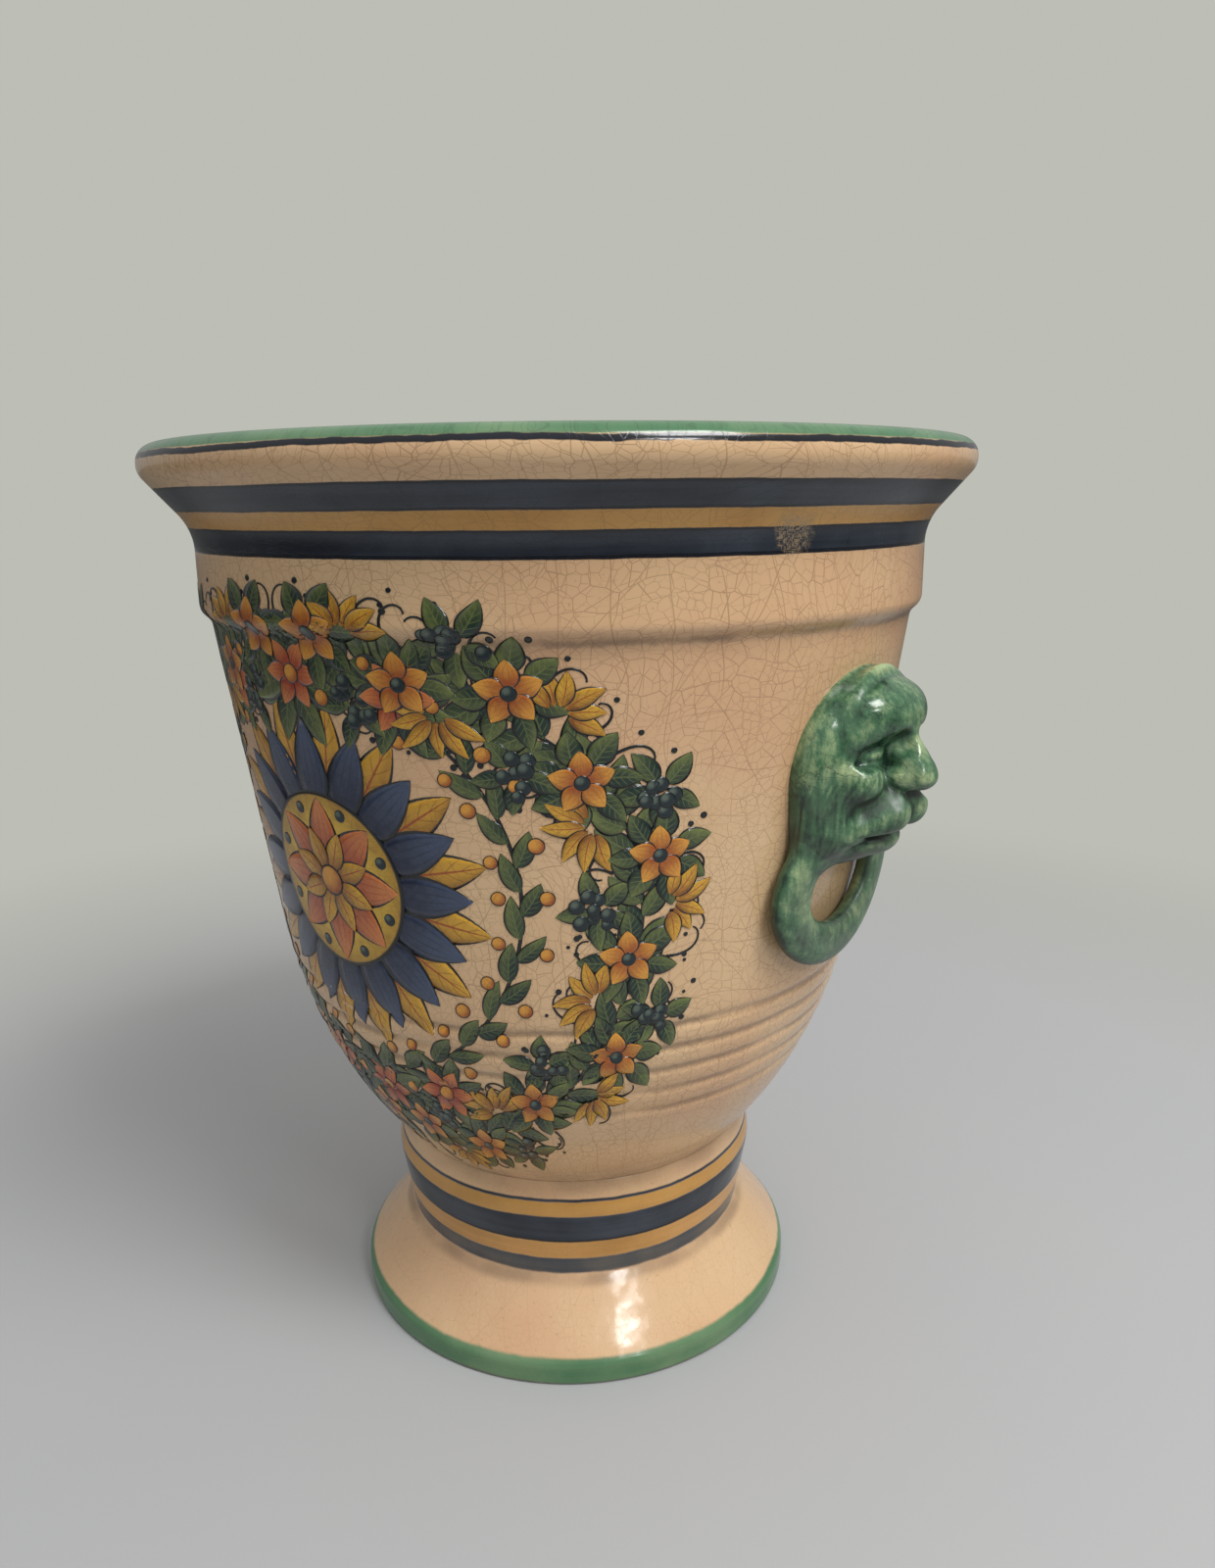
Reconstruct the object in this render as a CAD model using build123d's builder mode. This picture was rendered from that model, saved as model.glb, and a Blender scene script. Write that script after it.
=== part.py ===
from build123d import *
import os
from math import asin, atan2, cos, pi, sin, sqrt, tan

# Footed ceramic cachepot with a lion mask and a fixed ring on each side.
# Millimetres, +Z up, origin on the ground under the middle of the foot.
# The masks stand on the +X and -X sides and the decorated front faces -Y.

# Bowl, a turned vessel: heights are from the ground, drops are from the top of the lip
HEIGHT = 268.8
RIM_DIAMETER = 238.4
LIP_WALL = 8.0
LIP_DROP = 7.6
FLARE_DROP = 22.3
FLARE_ROUND = 15.0
LIP_ROUND = 5.5
RIM_OVERHANG = 12.9
COLLAR_DROP = 43.8
STEP_OUT = 3.0
STEP_ROUND = 3.4
BELLY_DIAMETER = 180.4
BELLY_HEIGHT = 131.0
WAIST_DIAMETER = 113.0
WAIST_HEIGHT = 58.0
BOWL_WALL = 7.0
FLOOR_THICKNESS = 9.0
FLOOR_ROUND = 9.0

# Shallow turning grooves round the lower bowl
GROOVE_COUNT = 5
GROOVE_LOWEST = 91.7
GROOVE_PITCH = 7.2
GROOVE_DEPTH = 0.5
GROOVE_RADIUS = 2.6

# Pedestal foot: a swelling band over a flared base, hollow underneath
BAND_BULGE = 2.9
BAND_BULGE_DROP = 10.0
BAND_BULGE_ROUND = 14.0
BAND_FOOT_DIAMETER = 110.8
BAND_FOOT_HEIGHT = 26.3
NECK_WALL = 8.6
FOOT_DIAMETER = 143.0
FOOT_EDGE = 6.5
FOOT_EDGE_ROUND = 3.0
FOOT_RING_WIDTH = 12.0
FOOT_ROUND = 1.4

# The bowl's spigot drops into the bore of the foot, where slip holds it
SPIGOT_HEIGHT = 4.0
SPIGOT_CLEARANCE = 0.3

# Mask: rounded lumps of clay, each as its drop below the mask's top, its middle's place
# across the face and out of the bowl's side, then its height, width and depth
MASK_TOP = 213.0
MASK_LUMPS = {
    "skull": (26.6, 0.0, 0.0, 50.8, 51.6, 24.8),
    "hairline": (4.2, 0.0, 4.6, 6.6, 23.0, 5.2),
    "forehead": (12.5, 0.0, 6.9, 17.4, 32.0, 20.0),
    "inner_brow": (14.6, 4.6, 10.7, 8.4, 10.4, 8.8),
    "outer_brow": (16.7, 11.4, 8.4, 7.8, 12.6, 7.8),
    "cheek": (28.8, 12.8, 8.9, 12.8, 13.6, 14.0),
    "muzzle": (34.2, 0.0, 8.1, 18.4, 25.0, 20.8),
    "nose_bridge": (18.7, 0.0, 13.0, 10.4, 8.6, 9.4),
    "nose": (24.0, 0.0, 14.9, 11.6, 9.6, 14.4),
    "nose_tip": (28.6, 0.0, 16.4, 7.8, 10.6, 17.2),
    "nose_wing": (29.3, 4.2, 14.6, 6.0, 5.8, 12.4),
    "lip": (37.8, 5.0, 16.0, 11.4, 11.2, 11.2),
    "whisker": (40.7, 10.6, 11.6, 9.6, 11.0, 10.0),
    "chin": (46.0, 0.0, 8.7, 10.0, 22.0, 16.4),
    "beard": (48.2, 0.0, 4.0, 10.0, 26.0, 15.2),
    "jaw": (39.2, 15.6, 2.6, 19.6, 15.2, 16.4),
}

# Ring: an oval-sectioned oval hoop, bent to follow the bowl, its top under the mask's jaw
RING_ACROSS = 44.8
RING_UP = 35.6
RING_WIDTH = 12.4
RING_THICKNESS = 7.2
RING_STANDOFF = 3.4
RING_BEND_RADIUS = 136.0
RING_DROP = 60.0
RING_SECTIONS = 13

# Outline of the bowl's side: a straight taper, then an arc that turns in to the waist
lip_r = RIM_DIAMETER / 2
lip_z = HEIGHT - LIP_DROP
flare_z = HEIGHT - FLARE_DROP
collar_r = lip_r - RIM_OVERHANG
collar_z = HEIGHT - COLLAR_DROP
side_r = collar_r - STEP_OUT
side_z = collar_z - STEP_OUT
belly_r = BELLY_DIAMETER / 2
taper = atan2(side_r - belly_r, side_z - BELLY_HEIGHT)
waist_r = WAIST_DIAMETER / 2
chord = Vector(waist_r - belly_r, WAIST_HEIGHT - BELLY_HEIGHT)
inward = Vector(-cos(taper), sin(taper))
belly_radius = chord.length**2 / (2 * chord.dot(inward))
belly_centre = Vector(belly_r, BELLY_HEIGHT) + inward * belly_radius


def wall_lean(z):
    """Angle in radians by which the bowl's side leans out from upright at height z."""
    if z >= BELLY_HEIGHT:
        return taper
    return asin((belly_centre.Y - z) / belly_radius)


def wall_radius(z):
    """Outer radius of the bowl's side at height z, between the waist and the step."""
    if z >= BELLY_HEIGHT:
        return side_r - (side_z - z) * tan(taper)
    return belly_centre.X + belly_radius * cos(wall_lean(z))


# Outer and inner outlines of the bowl, each from its low end up to the lip
flare_half_angle = atan2(lip_r - collar_r, lip_z - flare_z) / 2
lip_upright = LIP_DROP - LIP_ROUND * tan(flare_half_angle)
lip_roll = min(0.64 * LIP_WALL, 0.92 * lip_upright)
outer_side = [
    (belly_r, BELLY_HEIGHT),
    (side_r, side_z),
    (collar_r, collar_z),
    (collar_r, flare_z),
    (lip_r, lip_z),
    (lip_r, HEIGHT),
    (lip_r - LIP_WALL, HEIGHT),
]
outer_rounds = [STEP_ROUND, STEP_ROUND, FLARE_ROUND, LIP_ROUND, lip_roll]
inner_belly = Vector(belly_r, BELLY_HEIGHT) + inward * BOWL_WALL
inner_radius = belly_radius - BOWL_WALL
inner_flare_z = flare_z + BOWL_WALL * tan(flare_half_angle)
inner_flare_r = wall_radius(inner_flare_z) - BOWL_WALL / cos(taper)
inner_lip_z = lip_z + LIP_WALL * tan(flare_half_angle)
inner_side = [
    (lip_r, HEIGHT),
    (lip_r - LIP_WALL, HEIGHT),
    (lip_r - LIP_WALL, inner_lip_z),
    (inner_flare_r, inner_flare_z),
    (inner_belly.X, inner_belly.Y),
]
inner_rounds = [0.32 * LIP_WALL, 0, FLARE_ROUND + BOWL_WALL]
floor_z = WAIST_HEIGHT + FLOOR_THICKNESS
floor_drop = belly_centre.Y - floor_z
floor_r = belly_centre.X + sqrt(inner_radius**2 - floor_drop**2)
bore_r = BAND_FOOT_DIAMETER / 2 - NECK_WALL
spigot_r = bore_r - SPIGOT_CLEARANCE
spigot_z = WAIST_HEIGHT - SPIGOT_HEIGHT

# Filled form of the bowl, which the masks and rings are shaped against
with BuildPart() as bowl_form:
    with BuildSketch(Plane.YZ):
        with BuildLine():
            FilletPolyline(outer_side, radius=outer_rounds)
            TangentArc((belly_r, BELLY_HEIGHT), (waist_r, WAIST_HEIGHT), tangent=(-sin(taper), -cos(taper)))
            Polyline(
                (waist_r, WAIST_HEIGHT),
                (spigot_r, WAIST_HEIGHT),
                (spigot_r, spigot_z),
                (0, spigot_z),
                (0, HEIGHT),
                (lip_r - LIP_WALL, HEIGHT),
            )
        make_face()
    revolve(axis=Axis.Z)

# Inside of the bowl
with BuildPart() as bowl_inside:
    with BuildSketch(Plane.YZ) as inside_section:
        with BuildLine():
            FilletPolyline(inner_side, radius=inner_rounds)
            TangentArc(
                (inner_belly.X, inner_belly.Y),
                (floor_r, floor_z),
                tangent=(-sin(taper), -cos(taper)),
            )
            Polyline((floor_r, floor_z), (0, floor_z), (0, HEIGHT), (lip_r, HEIGHT))
        make_face()
        floor_corner = inside_section.vertices().sort_by(Axis.Y)[:2].sort_by(Axis.X)[-1]
        fillet(floor_corner, FLOOR_ROUND)
    revolve(axis=Axis.Z)

# Bowl: the form hollowed out, with the grooves turned round its lower side
with BuildPart() as bowl:
    add(bowl_form.part)
    add(bowl_inside.part, mode=Mode.SUBTRACT)
    with BuildSketch(Plane.YZ):
        for i in range(GROOVE_COUNT):
            groove_z = GROOVE_LOWEST + i * GROOVE_PITCH
            out = GROOVE_RADIUS - GROOVE_DEPTH
            lean = wall_lean(groove_z)
            with Locations((wall_radius(groove_z) + out * cos(lean), groove_z - out * sin(lean))):
                Circle(GROOVE_RADIUS)
    revolve(axis=Axis.Z, mode=Mode.SUBTRACT)
bowl.part.label = "bowl"

# Pedestal foot
with BuildPart() as pedestal_foot:
    with BuildSketch(Plane.YZ):
        foot_r = FOOT_DIAMETER / 2
        band_foot_r = BAND_FOOT_DIAMETER / 2
        edge_rounds = [FOOT_ROUND, FOOT_EDGE_ROUND, FOOT_ROUND, FOOT_ROUND]
        with BuildLine():
            FilletPolyline(
                (bore_r, WAIST_HEIGHT),
                (waist_r, WAIST_HEIGHT),
                (waist_r + BAND_BULGE, WAIST_HEIGHT - BAND_BULGE_DROP),
                (band_foot_r, BAND_FOOT_HEIGHT),
                (foot_r, FOOT_EDGE),
                (foot_r, 0),
                (foot_r - FOOT_RING_WIDTH, 0),
                (bore_r, BAND_FOOT_HEIGHT),
                radius=[0, 0, BAND_BULGE_ROUND, *edge_rounds, NECK_WALL],
                close=True,
            )
        make_face()
    revolve(axis=Axis.Z)
pedestal_foot.part.label = "pedestal_foot"

# Mask on the +X side: the lumps joined, then cut to the bowl's outer face
with BuildPart() as mask_right:
    for drop, across, out, height, width, depth in MASK_LUMPS.values():
        lump_z = MASK_TOP - drop
        lump = scale(Sphere(0.5, mode=Mode.PRIVATE), by=(depth, width, height), mode=Mode.PRIVATE)
        for lump_y in {across, -across}:
            add(Pos(wall_radius(lump_z) + out, lump_y, lump_z) * lump)
    add(bowl_form.part, mode=Mode.SUBTRACT)
mask_right.part.label = "mask_right"

# Ring under the mask: an oval section carried half way round a bent oval, then mirrored
ring_z = MASK_TOP - RING_DROP
ring_lean = wall_lean(ring_z)
ring_seat = Plane(
    origin=(wall_radius(ring_z), 0, ring_z),
    x_dir=(0, 1, 0),
    z_dir=(cos(ring_lean), 0, -sin(ring_lean)),
)


def ring_place(turn):
    """Middle of the ring's section, a turn in radians round from its +Y side."""
    across = RING_ACROSS / 2 * cos(turn)
    up = RING_UP / 2 * sin(turn)
    return ring_seat.from_local_coords((across, up, RING_STANDOFF - across**2 / (2 * RING_BEND_RADIUS)))


with BuildPart() as ring_right:
    for i in range(RING_SECTIONS):
        turn = -pi / 2 + pi * i / (RING_SECTIONS - 1)
        ahead = ring_place(turn + 0.001) - ring_place(turn - 0.001)
        if i in (0, RING_SECTIONS - 1):
            ahead = Vector(0, -sin(turn), 0)
        with BuildSketch(Plane(ring_place(turn), x_dir=ahead.cross(ring_seat.z_dir), z_dir=ahead)):
            Ellipse(RING_WIDTH / 2, RING_THICKNESS / 2)
    loft()
    mirror(about=Plane.XZ)
    add(bowl_form.part, mode=Mode.SUBTRACT)
    add(mask_right.part, mode=Mode.SUBTRACT)
ring_right.part.label = "ring_right"

# The -X side mirrors the +X side
with BuildPart() as mask_left:
    add(mirror(mask_right.part, about=Plane.YZ, mode=Mode.PRIVATE))
mask_left.part.label = "mask_left"

with BuildPart() as ring_left:
    add(mirror(ring_right.part, about=Plane.YZ, mode=Mode.PRIVATE))
ring_left.part.label = "ring_left"

os.makedirs("parts", exist_ok=True)
for piece in (bowl, pedestal_foot, mask_right, mask_left, ring_right, ring_left):
    export_step(piece.part, f"parts/{piece.part.label}.step")
    print(piece.part.label, piece.part.volume, piece.part.bounding_box().size)
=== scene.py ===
"""Dresses the cachepot: crazed glaze with painted bands, lion masks, rings and a painted front."""
import math

import bpy
import numpy as np
from mathutils import Matrix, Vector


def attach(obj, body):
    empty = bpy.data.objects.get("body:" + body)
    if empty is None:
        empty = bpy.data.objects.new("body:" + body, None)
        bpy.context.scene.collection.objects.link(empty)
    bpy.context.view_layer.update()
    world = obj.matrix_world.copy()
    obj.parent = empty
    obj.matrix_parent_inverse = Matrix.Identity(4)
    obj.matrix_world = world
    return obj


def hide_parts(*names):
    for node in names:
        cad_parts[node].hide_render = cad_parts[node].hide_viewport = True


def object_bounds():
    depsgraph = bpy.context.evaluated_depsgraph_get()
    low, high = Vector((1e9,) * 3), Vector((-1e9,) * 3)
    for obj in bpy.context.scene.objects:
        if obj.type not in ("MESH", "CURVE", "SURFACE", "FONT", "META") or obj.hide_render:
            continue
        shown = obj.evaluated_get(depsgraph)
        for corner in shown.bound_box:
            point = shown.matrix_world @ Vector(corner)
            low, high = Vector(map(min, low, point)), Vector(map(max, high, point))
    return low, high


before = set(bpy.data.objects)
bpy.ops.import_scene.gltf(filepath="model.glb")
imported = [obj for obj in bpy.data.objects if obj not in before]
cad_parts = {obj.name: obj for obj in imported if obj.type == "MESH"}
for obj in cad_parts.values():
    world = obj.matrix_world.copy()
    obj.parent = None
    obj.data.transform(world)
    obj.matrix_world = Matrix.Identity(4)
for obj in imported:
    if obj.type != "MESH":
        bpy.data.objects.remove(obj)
CAD_LOW, CAD_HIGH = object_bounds()

bl_info = {
    "name": "Cachepot",
    "version": (1, 0, 0),
    "blender": (4, 5, 0),
    "location": "View3D > Sidebar > Cachepot",
    "description": "Glazed cachepot with lion masks, rings and a painted front",
    "category": "Add Mesh",
}

MM = 0.001
GROOVES = 5
# Wall radius at which widths of the painting and of the crazing are true
TRUE_RADIUS = 0.095
# Heights between which the green glaze turns dull and dusty, from the lion's eyes down to its mouth
DUST_TOP, DUST_FOOT = 0.191, 0.178


def srgb(red, green, blue):
    """Linear colour of an sRGB colour given in 0 to 255."""
    c = np.array([red, green, blue]) / 255
    return tuple(np.where(c <= 0.04045, c / 12.92, ((c + 0.055) / 1.055) ** 2.4).tolist())


def length(name, description, default):
    """A size in metres that the panel shows in the scene's unit."""
    return bpy.props.FloatProperty(
        name=name, description=description, default=default, unit="LENGTH", precision=4
    )


def colour(name, description, red, green, blue):
    """A colour that the panel shows as a swatch, from its sRGB values."""
    return bpy.props.FloatVectorProperty(
        name=name, description=description, subtype="COLOR", min=0, max=1, default=srgb(red, green, blue)
    )


def number(name, description, default):
    """A plain number for the panel."""
    return bpy.props.FloatProperty(name=name, description=description, default=default)


def angle(name, description, degrees):
    """An angle that the panel shows in degrees."""
    return bpy.props.FloatProperty(
        name=name, description=description, subtype="ANGLE", default=math.radians(degrees)
    )


class PotSizes(bpy.types.PropertyGroup):
    """Outline of the turned bowl and foot."""

    height: length("Height", "Ground to the top of the lip", CAD_HIGH.z)
    rim: length("Rim radius", "Outer radius of the lip", CAD_HIGH.y)
    lip_wall: length("Lip wall", "Thickness of the rolled lip", 0.008)
    lip_drop: length("Lip drop", "Top of the lip down to the flare", 0.0076)
    lip_round: length("Lip round", "Rounding between flare and lip", 0.0055)
    flare_drop: length("Flare drop", "Top of the lip down to the foot of the flare", 0.0223)
    flare_round: length("Flare round", "Rounding between collar and flare", 0.015)
    overhang: length("Rim overhang", "How far the lip stands out past the collar", 0.0129)
    collar_drop: length("Collar drop", "Top of the lip down to the step under the collar", 0.0438)
    step: length("Step", "How far the collar stands out past the side", 0.003)
    step_round: length("Step round", "Rounding of the step", 0.0040)
    belly: length("Belly radius", "Outer radius where the side starts to turn in", 0.0902)
    belly_height: length("Belly height", "Height where the side starts to turn in", 0.131)
    waist: length("Waist radius", "Radius where the bowl meets the foot", 0.0565)
    waist_height: length("Waist height", "Height where the bowl meets the foot", 0.058)
    wall: length("Wall", "Thickness of the bowl", 0.007)
    floor: length("Floor", "Thickness of the bowl's floor", 0.009)
    groove_low: length("Lowest groove", "Height of the lowest turning groove", 0.0917)
    groove_pitch: length("Groove pitch", "Height from one groove to the next", 0.0072)
    groove_depth: length("Groove depth", "Depth of the turning grooves", 0.0007)
    groove_width: length("Groove width", "Half width of a groove", 0.0013)
    bulge: length("Band bulge", "How far the foot's band swells past the waist", 0.0029)
    bulge_drop: length("Bulge drop", "Waist down to the widest part of the band", 0.010)
    bulge_round: length("Bulge round", "Rounding of the band's widest part", 0.014)
    band_foot: length("Band foot radius", "Radius where the band meets the flared base", 0.0554)
    band_foot_height: length("Band foot height", "Height where the band meets the base", 0.0263)
    neck_wall: length("Neck wall", "Thickness of the band", 0.0086)
    foot: length("Foot radius", "Radius of the base on the ground", 0.0715)
    foot_edge: length("Foot edge", "Height of the base's upright edge", 0.0065)
    foot_edge_round: length("Foot edge round", "Rounding above that edge", 0.003)
    foot_ring: length("Foot ring", "Width of the ring the pot stands on", 0.012)
    foot_round: length("Foot round", "Rounding of the small corners", 0.0014)


class BandSizes(bpy.types.PropertyGroup):
    """Heights of the edges of the painted bands."""

    lip: length("Lip glaze", "Lower edge of the green lip", 0.2662)
    lip_line: length("Lip line", "Lower edge of the dark line under the lip", 0.2647)
    navy_top: length("Upper navy top", "Upper edge of the upper navy band", 0.2573)
    navy_low: length("Upper navy foot", "Lower edge of the upper navy band", 0.2513)
    ochre: length("Rim ochre", "Lower edge of the ochre band", 0.2471)
    navy_two: length("Lower navy foot", "Lower edge of the lower navy band", 0.2408)
    waist_line: length("Waist line", "Middle of the dark line round the waist", 0.0524)
    foot_yellow: length("Foot yellow", "Lower edge of the yellow band on the foot", 0.0476)
    foot_navy: length("Foot navy", "Lower edge of the navy band on the foot", 0.0388)
    foot_orange: length("Foot orange", "Lower edge of the orange band on the foot", 0.0321)
    foot_grey: length("Foot grey", "Lower edge of the worn navy band on the foot", 0.0264)
    foot_green: length("Foot green", "Upper edge of the green foot", 0.0082)


class GlazeColours(bpy.types.PropertyGroup):
    """Colours of the glaze and of the painted bands."""

    peach: colour("Peach", "Body glaze", 218, 183, 141)
    pink: colour("Pink", "Warmer patches of the body glaze", 213, 170, 131)
    pale: colour("Pale", "Paler patches of the body glaze", 224, 192, 150)
    craze: colour("Crazing", "Stain in the crazing", 132, 96, 64)
    # Grime also serves as painted shade: under the collar's step, on the bowl's underside above the waist and
    # on the foot under the bowl.
    grime_and_shade: colour("Grime", "Dirt in the grooves and joints", 112, 88, 68)
    # Deep green also serves as painted shade in the recesses and under the overhangs of masks and rings.
    green_deep: colour("Deep green", "Green glaze where it pools", 32, 54, 42)
    green: colour("Green", "Green glaze", 78, 116, 84)
    green_thin: colour("Thin green", "Green glaze where it runs thin", 166, 184, 136)
    green_edge: colour("Edge green", "Green lip and foot", 74, 118, 82)
    green_worn: colour("Worn green", "Green lip and foot where the brush ran thin", 112, 142, 104)
    navy: colour("Navy", "Dark bands", 26, 31, 42)
    navy_worn: colour("Worn navy", "Dark bands where the brush ran thin", 60, 68, 78)
    line: colour("Line", "Dark lines", 22, 23, 28)
    rubbed: colour("Rubbed", "Rubbed patch on the bands", 150, 130, 104)
    ochre: colour("Ochre", "Ochre bands", 202, 154, 84)
    orange: colour("Orange", "Lower bright band of the foot", 214, 160, 92)
    grey: colour("Grey", "Lowest band of the foot where it is worn", 104, 100, 94)
    ochre_deep: colour("Deep ochre", "Ochre bands where the brush ran thick", 184, 134, 66)


class PaintColours(bpy.types.PropertyGroup):
    """Colours of the painted front."""

    outline: colour("Outline", "Drawn outlines and tendrils", 24, 26, 28)
    leaf: colour("Leaf", "Dark leaves", 30, 50, 42)
    leaf_light: colour("Light leaf", "Leaf tips and veins", 116, 126, 70)
    orange: colour("Orange", "Tips of the orange petals, and dabs", 216, 152, 62)
    orange_shade: colour("Orange shade", "Foot of the orange petals", 158, 82, 34)
    berry: colour("Berry", "Berries", 26, 40, 44)
    berry_light: colour("Berry light", "Lit side of the berries", 98, 112, 100)
    gold: colour("Gold", "Yellow leaves", 210, 160, 56)
    gold_shade: colour("Gold shade", "Shaded side of the yellow", 130, 78, 30)
    blue: colour("Blue", "Foot of the blue petals", 30, 38, 60)
    blue_light: colour("Light blue", "Tips of the blue petals", 72, 84, 108)
    field: colour("Field", "Yellow heart of the great blossom", 222, 182, 66)
    petal: colour("Petal", "Red-brown petals", 150, 52, 36)
    petal_light: colour("Light petal", "Tips of the petals", 208, 128, 72)


class MaskSizes(bpy.types.PropertyGroup):
    """Place and finish of the lion masks."""

    middle: length("Middle height", "Height of the middle of the mask", 0.187)
    bed: length("Bed", "How deep the mask's back sits in the bowl's wall", 0.002)
    strand: length("Strand", "Width of one strand of the mane", 0.0016)
    strand_depth: length("Strand depth", "Depth of the strands", 0.00002)


class RingSizes(bpy.types.PropertyGroup):
    """Shape and place of the rings."""

    drop: length("Drop", "Middle of the mask down to the middle of the ring", 0.0344)
    across: length("Half across", "Half the ring's width, to the middle of its section", 0.0224)
    up: length("Half up", "Half the ring's height, to the middle of its section", 0.0178)
    half_width: length("Half width", "Half the section's width along the wall", 0.0062)
    front: length("Front", "The section's depth in front of its middle", 0.0030)
    back: length("Back", "The section's depth behind its middle", 0.0042)
    standoff: length("Standoff", "Wall out to the middle of the section", 0.0040)
    bend: length("Bend radius", "Radius to which the ring is bent round the bowl", 0.136)
    melt: length("Melt", "How softly the ring runs into the mask", 0.006)


class DecorSizes(bpy.types.PropertyGroup):
    """Layout of the painted front, in sizes along the wall."""

    blossom_height: length("Blossom height", "Height of the middle of the great blossom", 0.158)
    blossom: length("Blossom radius", "Reach of the great blossom's blue petals", 0.043)
    reference: length("Reference radius", "Wall radius at which widths are true", TRUE_RADIUS)
    film: length("Film", "Thickness of the paint", 0.00006)
    lift: length("Lift", "Height of the lowest paint above the glaze", 0.0001)
    layer: length("Layer", "Height from one layer of paint to the next", 0.00003)
    seed: bpy.props.IntProperty(name="Seed", description="Seed of the small variations", default=7)


class StageSettings(bpy.types.PropertyGroup):
    """Camera and lights."""

    azimuth: angle("Camera azimuth", "Camera's place round the pot, from the painted front", 41.0)
    distance: length("Camera distance", "Camera to the pot's axis", 0.35774)
    eye: length("Camera height", "Camera's height above the ground", 0.25274)
    pitch: angle("Pitch", "How far the camera looks down", 13.815)
    yaw: angle("Yaw", "How far the camera looks to the right of the axis", 2.012)
    roll: angle("Roll", "How far the camera leans", -0.628)
    lens: number("Lens", "Focal length on a 36 mm sensor", 26.36)
    key: number("Key light", "Power of the key light in watts", 10.5)
    window: number("Window light", "Power of the small lamp that gives the glints", 2.2)
    sky: number("Sky", "Strength of the soft light from above", 0.64)
    haze: number("Haze", "Strength of the soft light from the sides", 0.27)
    ground: colour("Floor", "Floor", 180, 181, 183)
    dusk: colour("Far floor", "Floor away from the pot, out of the camera's sight", 96, 96, 94)
    backdrop: colour("Backdrop", "Backdrop", 189, 190, 181)


def rounded(corners, radii, steps=9):
    """Outline of straight runs in which each inner corner is an arc that touches both its runs."""
    corners = np.asarray(corners, float)
    parts = [corners[:1]]
    for before, corner, after, radius in zip(corners, corners[1:], corners[2:], radii):
        if radius == 0:
            parts.append(corner[None])
            continue
        back = (before - corner) / np.linalg.norm(before - corner)
        ahead = (after - corner) / np.linalg.norm(after - corner)
        half = math.acos(np.clip(back @ ahead, -1, 1)) / 2
        middle = (back + ahead) / np.linalg.norm(back + ahead)
        centre = corner + middle * radius / math.sin(half)
        first = corner + back * radius / math.tan(half) - centre
        last = corner + ahead * radius / math.tan(half) - centre
        start = math.atan2(first[1], first[0])
        sweep = (math.atan2(last[1], last[0]) - start + math.pi) % (2 * math.pi) - math.pi
        turn = start + sweep * np.linspace(0, 1, steps)
        parts.append(centre + radius * np.stack([np.cos(turn), np.sin(turn)], -1))
    parts.append(corners[-1:])
    return np.concatenate(parts)


def belly_arc(size, wall, low, steps):
    """Arc that carries the side's taper on, tangent to it at the belly, down to the waist.

    wall moves the arc inwards along its radius, and low is the height where it stops.
    """
    side = np.array([size.rim - size.overhang - size.step, size.height - size.collar_drop - size.step])
    belly = np.array([size.belly, size.belly_height])
    waist = np.array([size.waist, size.waist_height])
    along = (side - belly) / np.linalg.norm(side - belly)
    inward = np.array([-along[1], along[0]])
    chord = waist - belly
    radius = chord @ chord / (2 * chord @ inward)
    centre = belly + inward * radius
    top = math.atan2(-inward[1], -inward[0])
    bottom = math.asin((low - centre[1]) / (radius - wall))
    turn = np.linspace(bottom, top, steps)
    return centre + (radius - wall) * np.stack([np.cos(turn), np.sin(turn)], -1)


def flare_half_angle(size):
    """Half the angle by which the flare leans out from upright."""
    return math.atan2(size.overhang, size.flare_drop - size.lip_drop) / 2


def outer_outline(size):
    """Radius and height along the bowl's outside, from the waist up to the middle of the lip."""
    collar = size.rim - size.overhang
    lower = belly_arc(size, 0.0, size.waist_height, 130)
    for i in range(GROOVES):
        off = (lower[:, 1] - size.groove_low - i * size.groove_pitch) / size.groove_width
        lower[:, 0] -= size.groove_depth * np.exp(-off * off)
    side = np.linspace(0, 1, 40)[1:-1, None]
    foot = np.array([size.belly, size.belly_height])
    head = np.array([collar - size.step, size.height - size.collar_drop - size.step])
    corners = [
        foot + (head - foot) * 0.98,
        head,
        (collar, size.height - size.collar_drop),
        (collar, size.height - size.flare_drop),
        (size.rim, size.height - size.lip_drop),
        (size.rim, size.height),
        (size.rim - 0.66 * size.lip_wall, size.height),
    ]
    upright = size.lip_drop - size.lip_round * math.tan(flare_half_angle(size))
    roll = min(0.64 * size.lip_wall, 0.92 * upright)
    radii = [size.step_round, size.step_round, size.flare_round, size.lip_round, roll]
    return np.concatenate([lower, foot + (head - foot) * 0.98 * side, rounded(corners, radii, 14)])


def inner_outline(size):
    """Radius and height along the bowl's inside, from the middle of the lip down to the floor."""
    half = flare_half_angle(size)
    rise = size.wall * math.tan(half)
    floor = size.waist_height + size.floor
    arc = belly_arc(size, size.wall, floor + 0.006, 40)[::-1]
    flare_height = size.height - size.flare_drop + rise
    flare_radius = arc[0, 0] + math.tan(wall_lean(size)) * (flare_height - arc[0, 1])
    corners = [
        (size.rim - 0.66 * size.lip_wall, size.height),
        (size.rim - size.lip_wall, size.height),
        (size.rim - size.lip_wall, size.height - size.lip_drop + size.lip_wall * math.tan(half)),
        (flare_radius, flare_height),
        arc[0],
    ]
    upper = rounded(corners, [0.32 * size.lip_wall, 0.002, size.flare_round + size.wall], 12)
    curve = np.linspace(0, math.pi / 2, 10)[1:, None]
    corner = np.array([arc[-1, 0] - 0.012, floor])
    bend = corner + np.concatenate([0.012 * np.cos(curve), 0.006 * (1 - np.sin(curve))], 1)
    return np.concatenate([upper[:-1], arc, bend])


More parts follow.
